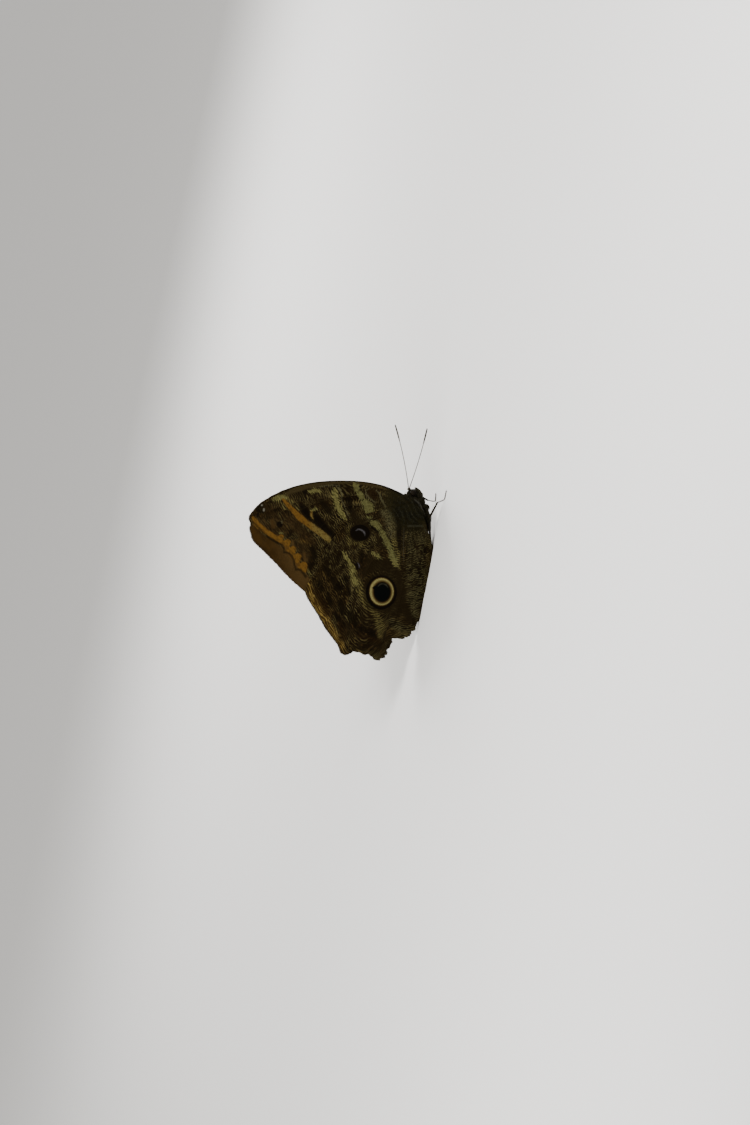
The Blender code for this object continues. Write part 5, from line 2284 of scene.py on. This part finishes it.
    def build_feeler(self, side: Side) -> None:
        """Makes one feeler: a ringed shaft that thickens to a club, with pale flecks near its foot.

        Args:
            side: Which feeler.
        """
        name, slot, mould = f"antenna_{side.word}", "antenna_horn", Mould()
        base = side.mirror(self.feeler_base)
        tip, bow = self.feeler_ends[side is Side.RIGHT]
        s = np.linspace(0, 1, 420)
        route = base + (tip - base) * s[:, None] + (4 * s * (1 - s))[:, None] * bow
        club = np.clip((s - 0.74) / 0.26, 0, 1)
        radii = 0.17 + 0.05 * np.exp(-s * 14) + 0.17 * np.sin(math.pi * np.minimum(1, club**0.8) * 0.82)
        radii[-6:] *= self.feeler_tip
        rings = 1.0 + 0.09 * np.cos(FULL_TURN * np.arange(len(s)) / 7)
        tones = np.append(np.repeat(blend_step(s, 0.7, 0.85), 12), (0.0, 1.0))
        mould.add(*sweep(route, radii * rings, 12), tones)
        mould.add(*ball(base - (0.12, 0.0, 0.1), (0.36, 0.36, 0.36), 14, 18), tone=0.0)
        self.shape(mould, name, "shaft", slot, self.finish.feeler_shell, 0.12)
        flecks = self.spikes(route[:150], 0.15, self.flecks)
        self.dress(f"{name}_flecks", flecks, Tuft.SPINE, slot, self.finish.feeler_flecks)

    def build_tongue(self) -> None:
        """Makes the coiled tongue with its fine rings."""
        share, mould = np.linspace(0, 1, 260), Mould()
        turn = -(FULL_TURN * self.tongue_turns * share - 0.6 * math.pi)
        reach = self.tongue_reach * (1 - 0.4 * share)
        x, z = self.tongue_centre
        route = columns(x + reach * np.cos(turn), 0 * share, z + reach * np.sin(turn))
        radii = (0.22 - 0.08 * share) * (1 + 0.06 * np.cos(share * FULL_TURN * self.tongue_rings))
        mould.add(*sweep(route, radii, 12), tone=0.6)
        self.shape(mould, "proboscis", "coil", "leg_horn", self.finish.tongue_shell, 0.15)

    def build(self) -> None:
        """Makes all limbs."""
        for name, joints in LEGS.items():
            self.build_leg(name, np.array(joints))
        for side in Side:
            self.build_foreleg(side)
            self.build_feeler(side)
        self.build_tongue()


@dataclass(frozen=True)
class Lamp:
    """One square lamp: its place and size in millimetres, and its power in watts."""

    name: str
    place: Point3
    size_mm: float
    watts: float

    def hang(self, aim: Point3) -> None:
        """Hangs the lamp.

        Args:
            aim: The place that it shines on.
        """
        data = bpy.data.lights.new(self.name, "AREA")
        data.size, data.energy = self.size_mm * MM, self.watts
        obj = link(bpy.data.objects.new(self.name, data))
        obj.location = Vector(to_row(self.place))
        way = Vector(to_row(aim)) - obj.location
        obj.rotation_euler = way.to_track_quat("-Z", "Y").to_euler()


@dataclass(frozen=True)
class Studio:
    """The floor and the light."""

    floor_half_m: float = 9.0
    floor_tint: Colour = (0.8, 0.785, 0.76)
    sky_tint: Colour = (1.0, 0.99, 0.97)
    sky_strength: float = 0.75
    aim: Point3 = (-30.0, 0.0, 35.0)
    lamps: tuple[Lamp, ...] = (
        Lamp("key_lamp", (380.0, -620.0, 620.0), 360.0, 11.0),
        Lamp("fill_lamp", (-520.0, -520.0, 300.0), 500.0, 3.5),
        Lamp("far_lamp", (200.0, 640.0, 520.0), 420.0, 7.0),
    )

    def build(self) -> None:
        """Lays a plain pale floor and sets the soft sky light and the lamps."""
        half = self.floor_half_m / MM
        material = Shader("studio_floor").finish({"Roughness": 0.9, "Base Color": (*self.floor_tint, 1.0)})
        corners = np.array([(-half, -half, 0), (half, -half, 0), (half, half, 0), (-half, half, 0)])
        floor = make_object("studio_floor", corners, [(0, 1, 2, 3)], (material,))
        floor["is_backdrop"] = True
        world = bpy.data.worlds.new("studio_world")
        world.use_nodes = True
        sky = world.node_tree.nodes["Background"]
        sky.inputs["Color"].default_value = (*self.sky_tint, 1.0)
        sky.inputs["Strength"].default_value = self.sky_strength
        bpy.context.scene.world = world
        for lamp in self.lamps:
            lamp.hang(self.aim)


@dataclass(frozen=True)
class Wings:
    """The four wings, their fringes and the soft hair at their roots."""

    fore_finish: WingFinish = WingFinish(
        ground=(0.0031, 0.0018, 0.0006),
        stria=(0.048, 0.0385, 0.0142),
        base=(0.006, 0.0048, 0.0016),
        veil_low=(0.0072, 0.0041, 0.0013),
        veil_high=(0.0225, 0.0145, 0.0052),
    )
    hind_finish: WingFinish = WingFinish(
        ground=(0.003, 0.0018, 0.0006), stria=(0.046, 0.0375, 0.0142), base=(0.0056, 0.0048, 0.0017)
    )
    fringe_tints: Tints = ((0.008, 0.005, 0.002), (0.03, 0.02, 0.009))
    down_tints: Tints = ((0.0042, 0.0036, 0.0013), (0.0275, 0.0265, 0.015))
    fringe_length: Point2 = (0.25, 0.48)
    down_length: Point2 = (0.8, 1.5)
    down_per_mm2: float = 9.0
    shoulder: Point2 = (3.5, 15.0)

    def fringe_roots(self, wing: Wing, side: Side) -> Roots:
        """Roots of the short scales along a wing's outer edge.

        Args:
            wing: The wing.
            side: Which of its two.

        Returns:
            Their roots.
        """
        rng, rim, outwards = np.random.default_rng(31), wing.rim, wing.edge_ways(wing.rim)
        chosen = (rim[:, 0] < -20.0) & (rim[:, 1] > 1.0)
        if wing.plan.eyespots:
            chosen &= rim[:, 0] < -52.0
        else:
            chosen &= (rim[:, 1] > 47.0) & (outwards[:, 0] < 0.2)
        places, out, count = rim[chosen], outwards[chosen], int(chosen.sum())
        aims = columns(out[:, 0], rng.normal(0, 0.12, count), out[:, 1])
        length = rng.uniform(*self.fringe_length, count)
        sizes = columns(length, length * 1.1, length)
        feet = wing.stand(places, side, 0.0)
        feet[:, ::2] -= out * 0.06
        faces = np.tile(side.outwards, (count, 1))
        return Roots(feet, unit(aims), faces, sizes, rng.random(count), wing.bake_places(places))

    def down_roots(self, wing: Wing, side: Side) -> Roots:
        """Roots of the soft hair near a wing's root, which lies backwards and down from the shoulder.

        Args:
            wing: The wing.
            side: Which of its two.

        Returns:
            Their roots.
        """
        rng, reach = np.random.default_rng(37), wing.numbers["reach"]
        share = blend_step(reach, 10.5, 3.0) * self.down_per_mm2 * wing.plan.outer_step**2 * 0.87
        chosen = rng.random(len(reach)) < share
        places, count = wing.outer[chosen], int(chosen.sum())
        out = unit(0.45 * unit(places - np.array(self.shoulder)) + (-0.36, -0.42))
        drift = out + rng.normal(0, 0.1, (count, 2))
        rise = side.value * rng.uniform(0.2, 0.36, count)
        aims = unit(columns(drift[:, 0], rise, drift[:, 1]))
        length = rng.uniform(*self.down_length, count)
        sizes = columns(length, length * 0.5, length)
        across = places @ (0.76, -0.65)
        sway = 2.2 * np.sin(places @ (0.31, 0.36)) + 0.6 * np.sin(across * 1.3)
        tones = 0.15 * rng.random(count) + 0.85 * (0.5 + 0.5 * np.sin(across * 3.1 + sway)) ** 2.5
        faces = np.tile(side.outwards, (count, 1))
        return Roots(wing.stand(places, side, 0.1), aims, faces, sizes, tones, wing.bake_places(places))

    def build(self, view: PhotoView, finish: BodyFinish, scatter: Scatter) -> None:
        """Builds the wings.

        Args:
            view: The photograph's view.
            finish: The looks of hair.
            scatter: The node tree that grows it.
        """
        edge_paint = finish.plain("wing_fringe", self.fringe_tints, 0.7)
        down_paint = finish.plain("wing_down", self.down_tints, 0.7)
        fore = (FORE_OUTLINE, FORE_VEINS, FORE_STRUTS, FORE_MARKS, ())
        fore = WingPlan("forewing", *fore, extra=0.12, outwards=(-0.69, 0.72))
        hind = (HIND_OUTLINE, HIND_VEINS, HIND_STRUTS, HIND_MARKS, HIND_EYESPOTS)
        hind = WingPlan("hindwing", *hind, extra=0.55, outwards=(-0.62, 0.78))
        for plan, wing_finish in ((fore, self.fore_finish), (hind, self.hind_finish)):
            wing, word = Wing(plan, view), plan.word
            outer = WingPaint(f"{word}_outer", wing_finish).complete(bool(plan.eyespots))
            inner = wing_finish.underside(f"{word}_inner")
            for side in Side:
                wing.build(side, outer, inner)
                name = f"{word}_{side.word}"
                scatter.grow(f"{name}_fringe", self.fringe_roots(wing, side), Tuft.FRINGE, edge_paint, word)
                scatter.grow(f"{name}_down", self.down_roots(wing, side), Tuft.HAIR, down_paint, word)


def main() -> None:
    """Builds the whole scene."""
    logging.basicConfig(level=logging.INFO, format="%(message)s")
    view = PhotoView()
    view.add_camera()
    Studio().build()
    finish, scatter = BodyFinish(), Scatter()
    Wings().build(view, finish, scatter)
    Trunk(finish, scatter).build()
    Limbs(finish, scatter).build()
    sizes = [[list(corner) for corner in box] for box in (CAD_BOX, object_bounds())]


if __name__ == "__main__":
    main()
